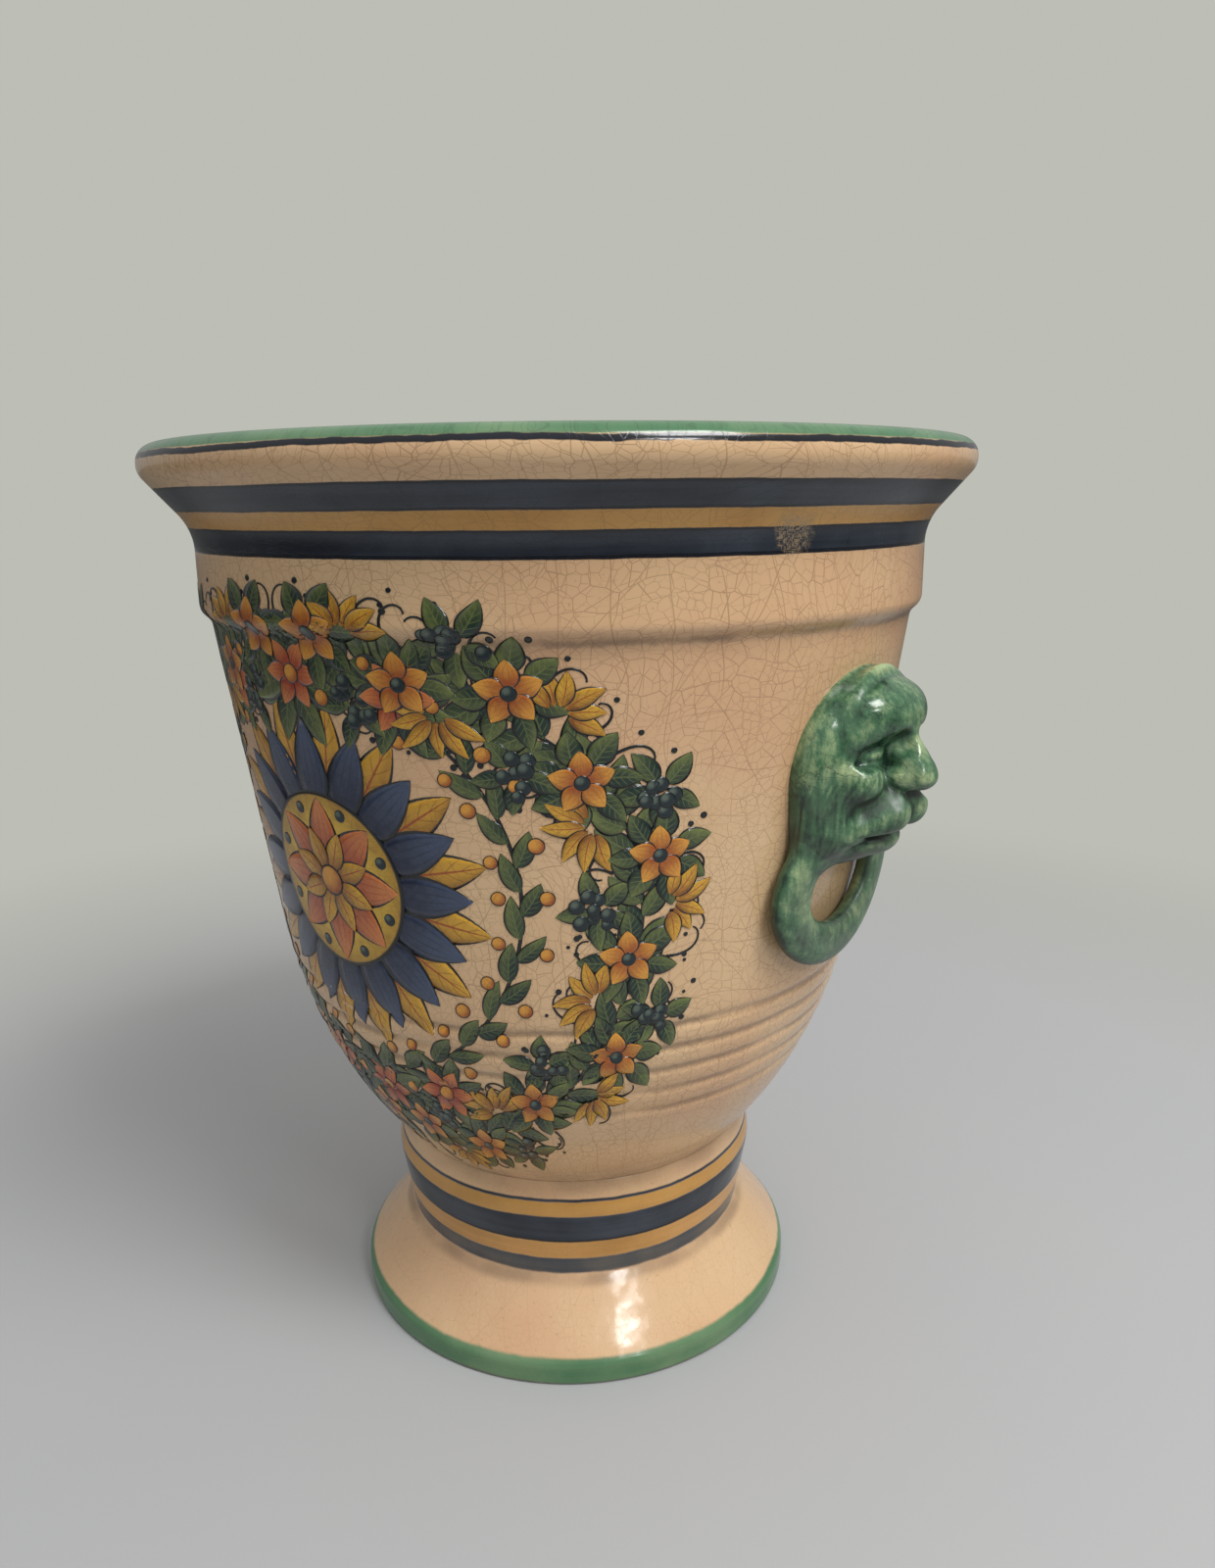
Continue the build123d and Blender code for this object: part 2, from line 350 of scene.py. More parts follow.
def foot_outline(size):
    """Radius and height round the foot's wall: down the outside, under it and up the bore."""
    bore = size.band_foot - size.neck_wall
    corners = [
        (bore, size.waist_height),
        (size.waist, size.waist_height),
        (size.waist + size.bulge, size.waist_height - size.bulge_drop),
        (size.band_foot, size.band_foot_height),
        (size.foot, size.foot_edge),
        (size.foot, 0.0),
        (size.foot - size.foot_ring, 0.0),
        (bore, size.band_foot_height),
        (bore, size.waist_height),
    ]
    small = size.foot_round
    radii = [0.0006, size.bulge_round, small, size.foot_edge_round, small, small, size.neck_wall]
    return rounded(corners, radii, 12)


def wall_radius(size, height):
    """Outer radius of the bowl at each height, read along its outline."""
    outline = outer_outline(size)
    return np.interp(height, outline[:, 1], outline[:, 0])


def wall_lean(size):
    """Angle by which the straight side leans out from upright."""
    rise = size.height - size.collar_drop - size.step - size.belly_height
    return math.atan2(size.rim - size.overhang - size.step - size.belly, rise)


def grid_mesh(name, points, wrap=False, loop=False, poles=(False, False), marks=None):
    """Mesh over grids of points: points[i, row, column] is a place on the i-th grid.

    wrap joins a grid's last column to its first, loop its last row to its first, and a pole is an
    end row whose places are one point. marks names values to keep at each place.
    """
    count, rows, columns = points.shape[:3]
    row, column = np.meshgrid(np.arange(rows if loop else rows - 1), np.arange(columns), indexing="ij")
    if not wrap:
        row, column = row[:, :-1], column[:, :-1]
    next_row, next_column = (row + 1) % rows, (column + 1) % columns
    index = np.arange(rows * columns).reshape(rows, columns)
    if poles[0]:
        index[0] = index[0, 0]
    if poles[1]:
        index[-1] = index[-1, 0]
    near = index[row, column], index[next_row, column]
    far = index[next_row, next_column], index[row, next_column]
    quads = np.stack([*near, *far], -1).reshape(-1, 4)
    at_first = quads[:, 0] == quads[:, 3]
    at_last = quads[:, 1] == quads[:, 2]
    triangles = np.concatenate([quads[at_first][:, :3], quads[at_last][:, [0, 1, 3]]])
    quads = quads[~(at_first | at_last)]
    shift = np.arange(count)[:, None] * (rows * columns)
    loops = np.concatenate([
        (quads.reshape(1, -1) + shift).ravel(), (triangles.reshape(1, -1) + shift).ravel()
    ])
    used, loops = np.unique(loops, return_inverse=True)
    sizes = np.repeat([4, 3], [count * len(quads), count * len(triangles)])
    mesh = bpy.data.meshes.new(name)
    mesh.vertices.add(len(used))
    mesh.vertices.foreach_set("co", points.reshape(-1, 3)[used].astype(np.float32).ravel())
    mesh.loops.add(len(loops))
    mesh.loops.foreach_set("vertex_index", loops.astype(np.int32).ravel())
    mesh.polygons.add(len(sizes))
    mesh.polygons.foreach_set("loop_start", (np.cumsum(sizes) - sizes).astype(np.int32))
    mesh.polygons.foreach_set("use_smooth", np.ones(len(sizes), bool))
    for mark, values in (marks or {}).items():
        kind = "FLOAT_VECTOR" if values.ndim == 4 else "FLOAT"
        store = mesh.attributes.new(mark, kind, "POINT")
        flat = values.reshape(-1, 3)[used] if values.ndim == 4 else values.reshape(-1)[used]
        store.data.foreach_set("vector" if values.ndim == 4 else "value", flat.astype(np.float32).ravel())
    mesh.update(calc_edges=True)
    mesh.set_sharp_from_angle(angle=math.radians(50))
    return mesh


def add_piece(name, mesh, material, slot, *nodes):
    """Puts a finished mesh in the scene, riding with the pot, in place of the CAD nodes named."""
    mesh.materials.append(material)
    piece = bpy.data.objects.new(name, mesh)
    bpy.context.scene.collection.objects.link(piece)
    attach(piece, "root")
    if nodes:
        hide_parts(*nodes)
    return piece


def lathe(outline, turns=240):
    """Points of an outline of radius and height turned about the Z axis."""
    turn = np.linspace(0, 2 * np.pi, turns, endpoint=False)
    radius, height = outline[:, :1], outline[:, 1:]
    around = [radius * np.sin(turn), -radius * np.cos(turn), np.broadcast_to(height, (len(outline), turns))]
    return np.stack(around, -1)[None]


class Number:
    """A socket that sums, products and steps are written with, as one number of a shader."""

    def __init__(self, paint, socket):
        self.paint = paint
        self.socket = socket

    def math(self, operation, *others, first=None):
        terms = [self, *others] if first is None else [first, self]
        return self.paint.node("ShaderNodeMath", {"operation": operation}, dict(enumerate(terms)))

    def __add__(self, other):
        return self.math("ADD", other)

    def __sub__(self, other):
        return self.math("SUBTRACT", other)

    def __rsub__(self, other):
        return self.math("SUBTRACT", first=other)

    def __mul__(self, other):
        return self.math("MULTIPLY", other)

    def __truediv__(self, other):
        return self.math("DIVIDE", other)

    __radd__ = __add__
    __rmul__ = __mul__

    def step(self, low, high):
        """Rises smoothly from 0 at low to 1 at high, or falls if low is the larger."""
        ends = {"Value": self, "From Min": min(low, high), "From Max": max(low, high)}
        ends.update({"To Min": float(low > high), "To Max": float(low <= high)})
        return self.paint.node("ShaderNodeMapRange", {"interpolation_type": "SMOOTHSTEP"}, ends)

    def band(self, low, high, soft):
        """1 between low and high, with soft edges."""
        return self.step(low - soft, low + soft) * self.step(high + soft, high - soft)

    def most(self, other):
        return self.math("MAXIMUM", other)

    def size(self):
        return self.math("ABSOLUTE")

    def part(self):
        return self.math("FRACT")

    def root(self):
        return self.math("SQRT")

    def turn_to(self, other):
        return self.math("ARCTAN2", other)


class Nodes:
    """Node tree of a material or of the sky."""

    def __init__(self, owner):
        owner.use_nodes = True
        self.tree = owner.node_tree
        self.tree.nodes.clear()

    def node(self, kind, settings=None, inputs=None, output=0):
        """Adds a node with its settings, then the values or links of its sockets, and gives an output."""
        made = self.tree.nodes.new(kind)
        for key, value in (settings or {}).items():
            if key == "stops":
                ramp = made.color_ramp
                while len(ramp.elements) < len(value):
                    ramp.elements.new(0.5)
                for element, (position, tint) in zip(ramp.elements, value):
                    element.position = position
                    element.color = (*tint, 1)
            else:
                setattr(made, key, value)
        for key, value in (inputs or {}).items():
            if isinstance(value, Number):
                self.tree.links.new(value.socket, made.inputs[key])
            elif made.inputs[key].type == "RGBA":
                made.inputs[key].default_value = (*value, 1)
            else:
                made.inputs[key].default_value = value
        return Number(self, made.outputs[output]) if made.outputs else None

    def parts(self, vector, names):
        """Those parts of a vector that names lists, such as XY."""
        return [self.node("ShaderNodeSeparateXYZ", None, {0: vector}, name) for name in names]


class Paint(Nodes):
    """Node tree of one glaze or paint."""

    def __init__(self, name):
        self.material = bpy.data.materials.new(name)
        super().__init__(self.material)
        self.where = self.node("ShaderNodeTexCoord", output="Object")
        (self.height,) = self.parts(self.where, "Z")

    def mix(self, share, first, second):
        """Colour that goes from first to second as share goes from 0 to 1."""
        return self.node("ShaderNodeMix", {"data_type": "RGBA"}, {0: share, 6: first, 7: second}, 2)

    def noise(self, scale, detail=3.0, stretch=(1, 1, 1), rough=0.5):
        """Soft random value, from cells of one over scale metres, drawn out by stretch."""
        where = self.where
        if stretch != (1, 1, 1):
            where = self.node("ShaderNodeMapping", None, {"Vector": where, "Scale": stretch})
        sockets = {"Vector": where, "Scale": scale, "Detail": detail, "Roughness": rough}
        return self.node("ShaderNodeTexNoise", None, sockets, 0)

    def mark(self, name, kind="Fac"):
        """A value kept on the mesh, or a vector."""
        return self.node("ShaderNodeAttribute", {"attribute_name": name}, None, kind)

    def crazing(self, slope=1):
        """Cracks of the glaze: long curved ones, and between them the edges of middling and of small cells.

        The wall is unrolled to its width and height. Long cracks are four sets of lines that sway and fade.
        Slope is 1 where the wall widens upwards and -1 where it widens downwards.
        """
        x, y = self.parts(self.where, "XY")
        wide = x.turn_to(0 - y) * TRUE_RADIUS
        high = self.height + (x * x + y * y).root() * slope * 0.8
        sockets = {"Vector": self.where, "Scale": 24, "Detail": 1}
        drift = self.node("ShaderNodeTexNoise", None, sockets, "Color")
        aside, above = (part * 0.022 for part in self.parts(drift, "XY"))
        faded = self.noise(34, 2).step(0.36, 0.56)
        cracks = faded * 0
        ways = ((1.0, 0.1, 0.011), (0.78, 0.62, 0.021), (0.8, -0.6, 0.025), (0.1, 1.0, 0.014))
        for along, across, gap in ways:
            line = ((wide + aside) * along + (high + above) * across) / gap
            near = (0.5 - (line.part() - 0.5).size()) * gap
            cracks = cracks.most(near.step(0.00018, 0.00005) * (faded * 0.36 + 0.10))
            faded = 1 - faded
        flat = self.node("ShaderNodeCombineXYZ", None, {"X": wide + aside, "Y": high + above})
        for cell, thick, dark in ((0.0050, 0.00015, 0.50), (0.0026, 0.00012, 0.44)):
            settings = {"feature": "DISTANCE_TO_EDGE", "voronoi_dimensions": "2D"}
            edge = self.node("ShaderNodeTexVoronoi", settings, {"Vector": flat, "Scale": 1 / cell}) * cell
            shown = self.noise(0.4 / cell, 2).step(0.30, 0.58) * 0.8 + 0.2
            cracks = cracks.most(edge.step(thick, thick * 0.25) * shown * dark)
        return cracks

    def sheen(self, cracks):
        """Roughness and relief of the clear glaze, which is duller and lower at its cracks."""
        rough = self.noise(60, 3) * 0.10 + cracks * 0.15 + 0.10
        return rough, self.noise(130, 2) * 0.5 - cracks * 0.35

    def finish(self, tint, rough, relief, depth=0.0002, strength=0.4):
        """Glossy coat over the colour, with the relief as fine bumps."""
        bump = {"Height": relief, "Distance": depth, "Strength": strength}
        sockets = {"Base Color": tint, "Roughness": rough, "Normal": self.node("ShaderNodeBump", None, bump)}
        shader = self.node("ShaderNodeBsdfPrincipled", None, sockets)
        self.node("ShaderNodeOutputMaterial", None, {"Surface": shader})
        return self.material


def body_glaze(name, bands, tones, slope=1, crazed=1.0):
    """Crazed peach glaze with brushed bands.

    Each band is its low and high edge, two tints, softness, share of streaks and how ragged it runs.
    The bands stay off faces that the mesh marks as inside.
    """
    paint = Paint(name)
    cracks = paint.crazing(slope) * crazed
    patches = paint.noise(11, 3).step(0.36, 0.68)
    clouds = paint.noise(26, 4).step(0.40, 0.72)
    tint = paint.mix(patches, tones.peach, tones.pink)
    tint = paint.mix(clouds * 0.6, tint, tones.pale)
    specks = paint.noise(900, 2).step(0.66, 0.74)
    tint = paint.mix(specks * 0.25, tint, tones.craze)
    wobble = (paint.noise(32, 2) - 0.5) * 0.0007 + (paint.noise(240, 2) - 0.5) * 0.00025
    streaks = paint.noise(1, 3, (14, 14, 420)).step(0.30, 0.74)
    daubs = paint.noise(38, 4).step(0.40, 0.70)
    outside = 1 - paint.mark("inside")
    covered = outside * 0
    for low, high, first, second, soft, streaked, ragged in bands:
        within = (paint.height + wobble * ragged).band(low, high, soft) * outside
        brushed = streaks * streaked + daubs * (1 - streaked)
        tint = paint.mix(within, tint, paint.mix(brushed, first, second))
        covered = covered.most(within)
    stain = paint.mix(covered, tones.craze, tones.line)
    tint = paint.mix(cracks * (1 - covered * 0.55), tint, stain)
    return paint, tint, *paint.sheen(cracks)


def green_glaze(name, tones):
    """Brushed green glaze that pools dark in the hollows and runs thin and yellow on the ridges. The hollow
    mark also paints shade into recesses and under overhangs.
    """
    paint = Paint(name)
    mottle = paint.noise(260, 5, rough=0.68) - 0.5
    brushed = paint.noise(1, 5, (620, 620, 110), 0.65) - 0.5
    clouds = paint.noise(70, 3) - 0.5
    strands = paint.mark("strand") * paint.noise(190, 3).step(0.36, 0.70) * 0.24
    thin = mottle * 1.1 + brushed * 0.95 + clouds * 1.15 + strands + 0.49
    # Darker where the hollow mark is high: pooled glaze in recesses, and painted shade there and on faces
    # that look down.
    thin = thin + paint.mark("ridge") * 0.50 - paint.mark("hollow") * 0.66
    stops = [(0.0, tones.green_deep), (0.46, tones.green), (1.0, tones.green_thin)]
    tint = paint.node("ShaderNodeValToRGB", {"stops": stops}, {0: thin})
    veins = (paint.noise(150, 4) - 0.5).size().step(0.020, 0.004) * paint.noise(60, 2).step(0.45, 0.65)
    tint = paint.mix(veins * 0.55, tint, tones.green_deep)
    cracks = paint.crazing()
    tint = paint.mix(cracks * 0.75, tint, tones.green_deep)
    dust = paint.height.step(DUST_TOP, DUST_FOOT)
    tint = paint.mix(dust * paint.noise(85, 3).step(0.38, 0.70) * 0.30, tint, tones.grey)
    rough = paint.noise(90, 2) * 0.12 + dust * 0.24 + 0.08
    relief = mottle * 0.35 + brushed * 0.25
    return paint.finish(tint, rough, relief, 0.0003, 0.35)


def painted(name, tones, colours, draw):
    """Paint under the glaze: draw gives the colour from the mark that each brush stroke carries."""
    paint = Paint(name)
    along, across, tone = paint.parts(paint.mark("brush", "Vector"), "XYZ")
    tint = draw(paint, along, across, tone, colours)
    cracks = paint.crazing()
    tint = paint.mix(cracks * 0.5, tint, tones.line)
    return paint.finish(tint, *paint.sheen(cracks))


def leaf_tint(paint, along, across, tone, c):
    """Dark leaf with a light rim on one side, a midrib, slanted veins and a drawn outline."""
    lit = across.step(-0.4, 0.9) * 0.55 + along.step(0.35, 1.0) * 0.5 + (tone - 0.5) * 0.5
    tint = paint.mix(lit * (paint.noise(420, 3) + 0.35), c.leaf, c.leaf_light)
    vein = ((along * 6 - across.size() * 1.6).part() - 0.5).size().step(0.12, 0.03)
    vein = (vein * across.size().step(0.85, 0.5)).most(across.size().step(0.10, 0.03))
    tint = paint.mix(vein * 0.55, tint, c.leaf_light)
    return paint.mix(across.size().step(0.76, 0.9), tint, c.outline)


def gold_leaf_tint(paint, along, across, tone, c):
    """Yellow leaf that reddens towards its foot and one side, with a midrib and a drawn outline."""
    shade = along.step(0.65, 0.0) * 0.75 + across.step(0.1, -0.9) * 0.5 + (tone - 0.5) * 0.4
    tint = paint.mix(shade * (paint.noise(400, 3) + 0.4), c.gold, c.gold_shade)
    vein = ((along * 5 - across.size() * 1.3).part() - 0.5).size().step(0.10, 0.02)
    tint = paint.mix(vein * 0.5 * across.size().step(0.9, 0.5), tint, c.gold_shade)
    tint = paint.mix(across.size().step(0.09, 0.03) * 0.8, tint, c.petal)
    return paint.mix(across.size().step(0.78, 0.9), tint, c.outline)


def from_middle(along, across):
    """Distance from the middle of a round dab, which is 1 at its rim."""
    return (along * along + across * across).root()


def dab_tint(paint, along, across, tone, c):
    """Round orange dab, lit from the upper left, with a drawn outline."""
    dim = from_middle(along + 0.35, across - 0.35).step(0.35, 1.35) * (paint.noise(600, 3) + 0.45)
    tint = paint.mix(dim, c.orange, c.orange_shade)
    return paint.mix(from_middle(along, across).step(0.80, 0.92), tint, c.outline)


def berry_tint(paint, along, across, tone, c):
    """Dark berry with a lit cap."""
    lit = from_middle(along + 0.3, across - 0.35).step(0.75, 0.15) * 0.8
    tint = paint.mix(lit, c.berry, c.berry_light)
    return paint.mix(from_middle(along, across).step(0.80, 0.92), tint, c.outline)


def line_tint(paint, along, across, tone, c):
    """Thin drawn line that the brush leaves a little uneven."""
    return paint.mix(paint.noise(500, 3).step(0.45, 0.75) * 0.5, c.outline, c.leaf)


def field_tint(paint, along, across, tone, c):
    """Yellow disc, a little deeper towards its edge, with a drawn outline."""
    out = from_middle(along, across)
    deep = out.step(0.55, 1.05) * 0.55 + paint.noise(250, 4).step(0.4, 0.75) * 0.3
    return paint.mix(out.step(0.94, 0.97), paint.mix(deep, c.field, c.gold_shade), c.outline)


def petal(paint, along, across, tone, light, deep, outline):
    """Petal, light at the tip and deep at the foot, with fine ribs and a drawn outline."""
    shade = along.step(0.9, 0.1) + across.size() * 0.15 + (tone - 0.5) * 0.3
    tint = paint.mix(shade * (paint.noise(450, 3) + 0.4), light, deep)
    rib = ((across * 2.5).part() - 0.5).size().step(0.14, 0.04) * along.step(0.95, 0.6)
    return paint.mix(across.size().step(0.80, 0.90), paint.mix(rib * 0.45, tint, deep), outline)


def red_tint(paint, along, across, tone, c):
    """Red-brown petal."""
    return petal(paint, along, across, tone, c.petal_light, c.petal, c.outline)


def orange_tint(paint, along, across, tone, c):
    """Orange petal."""
    return petal(paint, along, across, tone, c.orange, c.orange_shade, c.outline)


def blue_tint(paint, along, across, tone, c):
    """Blue petal."""
    return petal(paint, along, across, tone, c.blue_light, c.blue, c.outline)


def way_of(turn):
    """Unit vectors along headings given as angles."""
    return np.stack([np.cos(turn), np.sin(turn)], -1)


def leaves(foot, heading, long, half, bend, rows=12, columns=5):
    """Leaf strokes: a bent spine, from each foot along its heading, with a width that swells and tapers."""
    t = np.linspace(0, 1, rows)[None, :, None]
    s = np.linspace(-1, 1, columns)[None, None, :]
    foot, heading, long, half, bend = (np.asarray(v, float) for v in (foot, heading, long, half, bend))
    heading, long, half, bend = (v[:, None, None] for v in (heading, long, half, bend))
    ahead, aside = way_of(heading), way_of(heading + np.pi / 2)
    spine = foot[:, None, None] + (long * t)[..., None] * ahead + (long * bend * t * t)[..., None] * aside
    lean = np.arctan(2 * bend * t)[..., None]
    normal = np.cos(lean) * aside - np.sin(lean) * ahead
    swell = half * np.sin(np.pi * t**0.8) ** 0.85
    return spine + (s * swell)[..., None] * normal, np.broadcast_arrays(t[0], s[0])


def discs(middle, radius, side=9):
    """Round dabs: a square grid drawn in to a disc, so that it has neither pole nor seam."""
    x, y = np.meshgrid(np.linspace(-1, 1, side), np.linspace(-1, 1, side), indexing="ij")
    disc = np.stack([x * np.sqrt(1 - y * y / 2), y * np.sqrt(1 - x * x / 2)], -1)
    middle, radius = np.asarray(middle, float), np.asarray(radius, float)
    return middle[:, None, None] + radius[:, None, None, None] * disc, (disc[..., 0], disc[..., 1])


def strokes(path, half, columns=3):
    """Brush lines: each path widened by half to each side, across its own direction."""
    ahead = np.gradient(path, axis=1)
    ahead /= np.linalg.norm(ahead, axis=-1, keepdims=True)
    aside = np.stack([-ahead[..., 1], ahead[..., 0]], -1)
    t = np.linspace(0, 1, path.shape[1])[:, None]
    s = np.linspace(-1, 1, columns)[None, :]
    wide = (half[..., None] * s)[..., None] * aside[:, :, None]
    return path[:, :, None] + wide, np.broadcast_arrays(t, s)


def curls(foot, heading, long, turn, rows=20):
    """Tendril paths: lines that set off along a heading and bend ever more tightly."""
    foot, heading, long, turn = (np.asarray(v, float) for v in (foot, heading, long, turn))
    t = np.linspace(0, 1, rows)
    way = heading[:, None] + turn[:, None] * t**2.2
    moves = way_of(way) * (long / (rows - 1))[:, None, None]
    return foot[:, None] + np.cumsum(moves, axis=1) - moves[:, :1]


def smooth_path(points, count):
    """Path through points, each stretch a cubic whose slope at a point is that of its neighbours."""
    points = np.asarray(points, float)
    padded = np.concatenate([2 * points[:1] - points[1:2], points, 2 * points[-1:] - points[-2:-1]])
    at = np.linspace(0, len(points) - 1 - 1e-9, count)
    k = at.astype(int)
    t = (at - k)[:, None]
    a, b, c, d = (padded[k + i] for i in range(4))
    return 0.5 * (2 * b + (c - a) * t + (2 * a - 5 * b + 4 * c - d) * t**2 + (3 * b - a - 3 * c + d) * t**3)


def on_wall(size, decor, flat, lift):
    """Places on the bowl of points given by width along the wall and height, in metres, each at its lift."""
    turn = flat[..., 0] / decor.reference
    radius = wall_radius(size, flat[..., 1]) + lift
    return np.stack([radius * np.sin(turn), -radius * np.cos(turn), flat[..., 1]], -1)


def paint_piece(name, material, size, decor, flat, grid, layer, tone):
    """One painted piece: strokes on the wall, turned to face outwards, each a thin closed film."""
    first = flat[:, 1:, :-1] - flat[:, :-1, :-1]
    second = flat[:, :-1, 1:] - flat[:, :-1, :-1]
    area = (first[..., 0] * second[..., 1] - first[..., 1] * second[..., 0]).sum((1, 2))
    along, across = (np.broadcast_to(g, flat.shape[:3]) for g in grid)
    turned = (area < 0)[:, None, None]
    flat = np.where(turned[..., None], flat[:, :, ::-1], flat)
    across = np.where(turned, across[:, :, ::-1], across)
    lift = decor.lift + decor.layer * (layer + np.arange(len(flat)) % 5 * 0.4)
    points = on_wall(size, decor, flat * MM, lift[:, None, None])
    tones = np.broadcast_to(np.asarray(tone, float)[:, None, None], along.shape)
    mesh = grid_mesh(name, points, marks={"brush": np.stack([along, across, tones], -1)})
    piece = add_piece(name, mesh, material, "glazed_body")
    film = piece.modifiers.new("film", "SOLIDIFY")
    film.thickness = decor.film
    film.offset = -1


def egg(place, middle, half):
    """Near distance to an egg with the half sizes given, from its scaled radius and slope."""
    scaled = (place - np.asarray(middle)) / np.asarray(half)
    out = np.linalg.norm(scaled, axis=-1)
    slope = np.linalg.norm(scaled / np.asarray(half), axis=-1)
    return out * (out - 1) / np.maximum(slope, 1e-6)


def rod(place, first, last, thick, thin):
    """Distance to a round-ended rod whose radius goes from thick to thin along it."""
    first, way = np.asarray(first), np.subtract(last, first)
    t = np.clip((place - first) @ way / (way @ way), 0, 1)
    return np.linalg.norm(place - first - t[..., None] * way, axis=-1) - thick - (thin - thick) * t


def join(first, second, melt):
    """Smaller of two distances, rounded off where they are alike."""
    near = np.maximum(melt - np.abs(first - second), 0) / melt
    return np.minimum(first, second) - near * near * melt / 4


# Lion's face in millimetres out of the wall, across and up: each lump, or hollow carved from
# the lumps, is mirrored across the face and ends with how softly it runs into the rest
LION_LUMPS = {
    "skull": (egg, (0.0, 0.0, -0.6), (12.4, 25.8, 25.4), 3.0),
    "forehead": (egg, (6.8, 0.0, 14.6), (9.9, 16.0, 8.6), 4.0),
    "brow": (rod, (11.2, 3.0, 13.6), (7.2, 14.4, 9.6), 4.0, 3.4, 3.5),
    "cheek": (egg, (8.8, 12.8, -1.6), (7.0, 6.8, 6.4), 2.6),
    "muzzle": (egg, (8.0, 0.0, -8.0), (10.4, 12.5, 8.0), 4.0),
    "nose": (rod, (11.6, 0.0, 11.0), (18.6, 0.0, 1.6), 4.1, 4.8, 2.6),
    "nose tip": (egg, (19.6, 0.0, 0.2), (4.8, 5.2, 3.5), 2.0),
    "nose wing": (egg, (17.2, 4.2, -0.9), (3.4, 2.8, 2.6), 1.8),
    "whiskers": (rod, (15.8, 5.0, -9.6), (8.6, 14.2, -15.8), 5.6, 3.6, 2.0),
    "chin": (egg, (8.6, 0.0, -19.0), (8.2, 11.0, 5.0), 0.8),
    "beard": (egg, (4.0, 0.0, -21.8), (7.6, 13.0, 5.0), 2.4),
    "jaw": (egg, (2.6, 15.6, -13.0), (8.2, 7.6, 9.8), 4.5),
}
LION_HOLLOWS = {
    "eye socket": (rod, (16.6, 4.6, 8.4), (12.4, 14.8, 4.6), 2.6, 1.8, 2.6),
    "nose side": (rod, (20.6, 7.4, 3.0), (20.8, 7.8, -3.4), 1.7, 1.7, 3.0),
    "cheek fold": (rod, (19.4, 8.2, -4.2), (13.6, 15.0, -9.0), 1.6, 1.2, 2.8),
    "mouth": (egg, (17.5, 0.0, -16.2), (7.2, 14.0, 0.9), 1.2),
    "nostril": (egg, (22.4, 2.4, -3.0), (2.2, 1.1, 0.9), 1.0),
    "lip parting": (egg, (22.8, 0.0, -9.6), (2.4, 0.7, 4.8), 1.2),
    "eye corner": (rod, (12.4, 13.6, 4.6), (7.2, 18.6, 1.4), 0.7, 0.4, 1.4),
}
LION_EYE = (egg, (9.9, 9.2, 4.9), (2.6, 4.2, 2.3), 0.8)
# Where the mask is cut off below, and how far out of its core its surface is looked for
MASK_FOOT, MASK_REACH = -29.5, 38.0


def lion_distance(place, mask):
    """Distance to the mask: lumps run together, hollows carved, then eyes, hairline and strands of hair."""
    half = np.stack([place[..., 0], np.abs(place[..., 1]), place[..., 2]], -1)
    out, across, up = half[..., 0], half[..., 1], half[..., 2]
    shape = np.full(out.shape, 99.0)
    for kind, *sizes, melt in LION_LUMPS.values():
        shape = join(shape, kind(half, *sizes), melt)
    for kind, *sizes, melt in LION_HOLLOWS.values():
        shape = -join(-shape, kind(half, *sizes), melt)
    kind, *sizes, melt = LION_EYE
    shape = join(shape, kind(half, *sizes), melt)
    round_face = np.hypot(across / 19.5, (up - 1.0) / 23.8)
    hairline = np.hypot((round_face - 1) * 21.0, (out - 4.6) * 0.9) - 1.0
    shape = join(shape, hairline + np.clip((12.0 - up) * 0.25, 0, 6), 2.0)
    return shape - mane(place, mask) * mask.strand_depth / MM


def mane(place, mask):
    """Strands of hair down the sides, from about -1 in a groove to 1 on a strand.

    They run down like meridians: three waves of the angle round the head that drift apart.
    """
    across, up = np.abs(place[..., 1]), place[..., 2]
    around = np.arctan2(across, place[..., 0] + 4) * 20 + 0.14 * up + 0.5 * np.sin(up / 3.5)
    phase = 2 * np.pi * MM / mask.strand * around
    waves = 0.45 * np.sin(phase + 1.6 * np.sin(up / 5))
    waves = waves + 0.4 * np.sin(1.37 * phase + 1.4 * np.sin(up / 3 + 1))
    waves = waves + 0.4 * np.sin(0.61 * phase + 1.8 * np.sin(up / 4 + 2))
    return waves * np.clip((across - 11) / 6, 0, 1) * np.clip((6 - up) / 8, 0, 1)


def hoop_distance(place, ring):
    """Distance to the ring: an oval section carried round an oval that is bent round the bowl."""
    across, up = place[..., 1], place[..., 2] + ring.drop / MM
    out = place[..., 0] + across**2 * MM / (2 * ring.bend) - ring.standoff / MM
    wide, high = ring.across / MM, ring.up / MM
    turn = np.hypot(across / wide, up / high)
    slope = np.maximum(np.hypot(across / wide**2, up / high**2), 1e-6)
    deep = np.where(out > 0, ring.front, ring.back) / MM
    section = np.stack([turn * (turn - 1) / slope / (ring.half_width / MM), out / deep], -1)
    return (np.linalg.norm(section, axis=-1) - 1) * deep


def handle_distance(place, mask, ring, own):
    """Distance to mask and ring run together, a hair less where the piece that isn't own is nearer."""
    lion, hoop = lion_distance(place, mask), hoop_distance(place, ring)
    nearer = lion - hoop if own == "mask" else hoop - lion
    return join(lion, hoop, ring.melt / MM) + 0.2 * np.clip(nearer / 3 + 0.5, 0, 1)


def trace(start, way, reach, distance, rounds=45):
    """Places where rays from outside first meet the shape: each comes in from reach by the distance left."""
    travel = np.full(start.shape[:-1], reach)
    for _ in range(rounds):
        travel = np.clip(travel - 0.8 * distance(start + way * travel[..., None]), 0.05, reach)
    return start + way * travel[..., None]


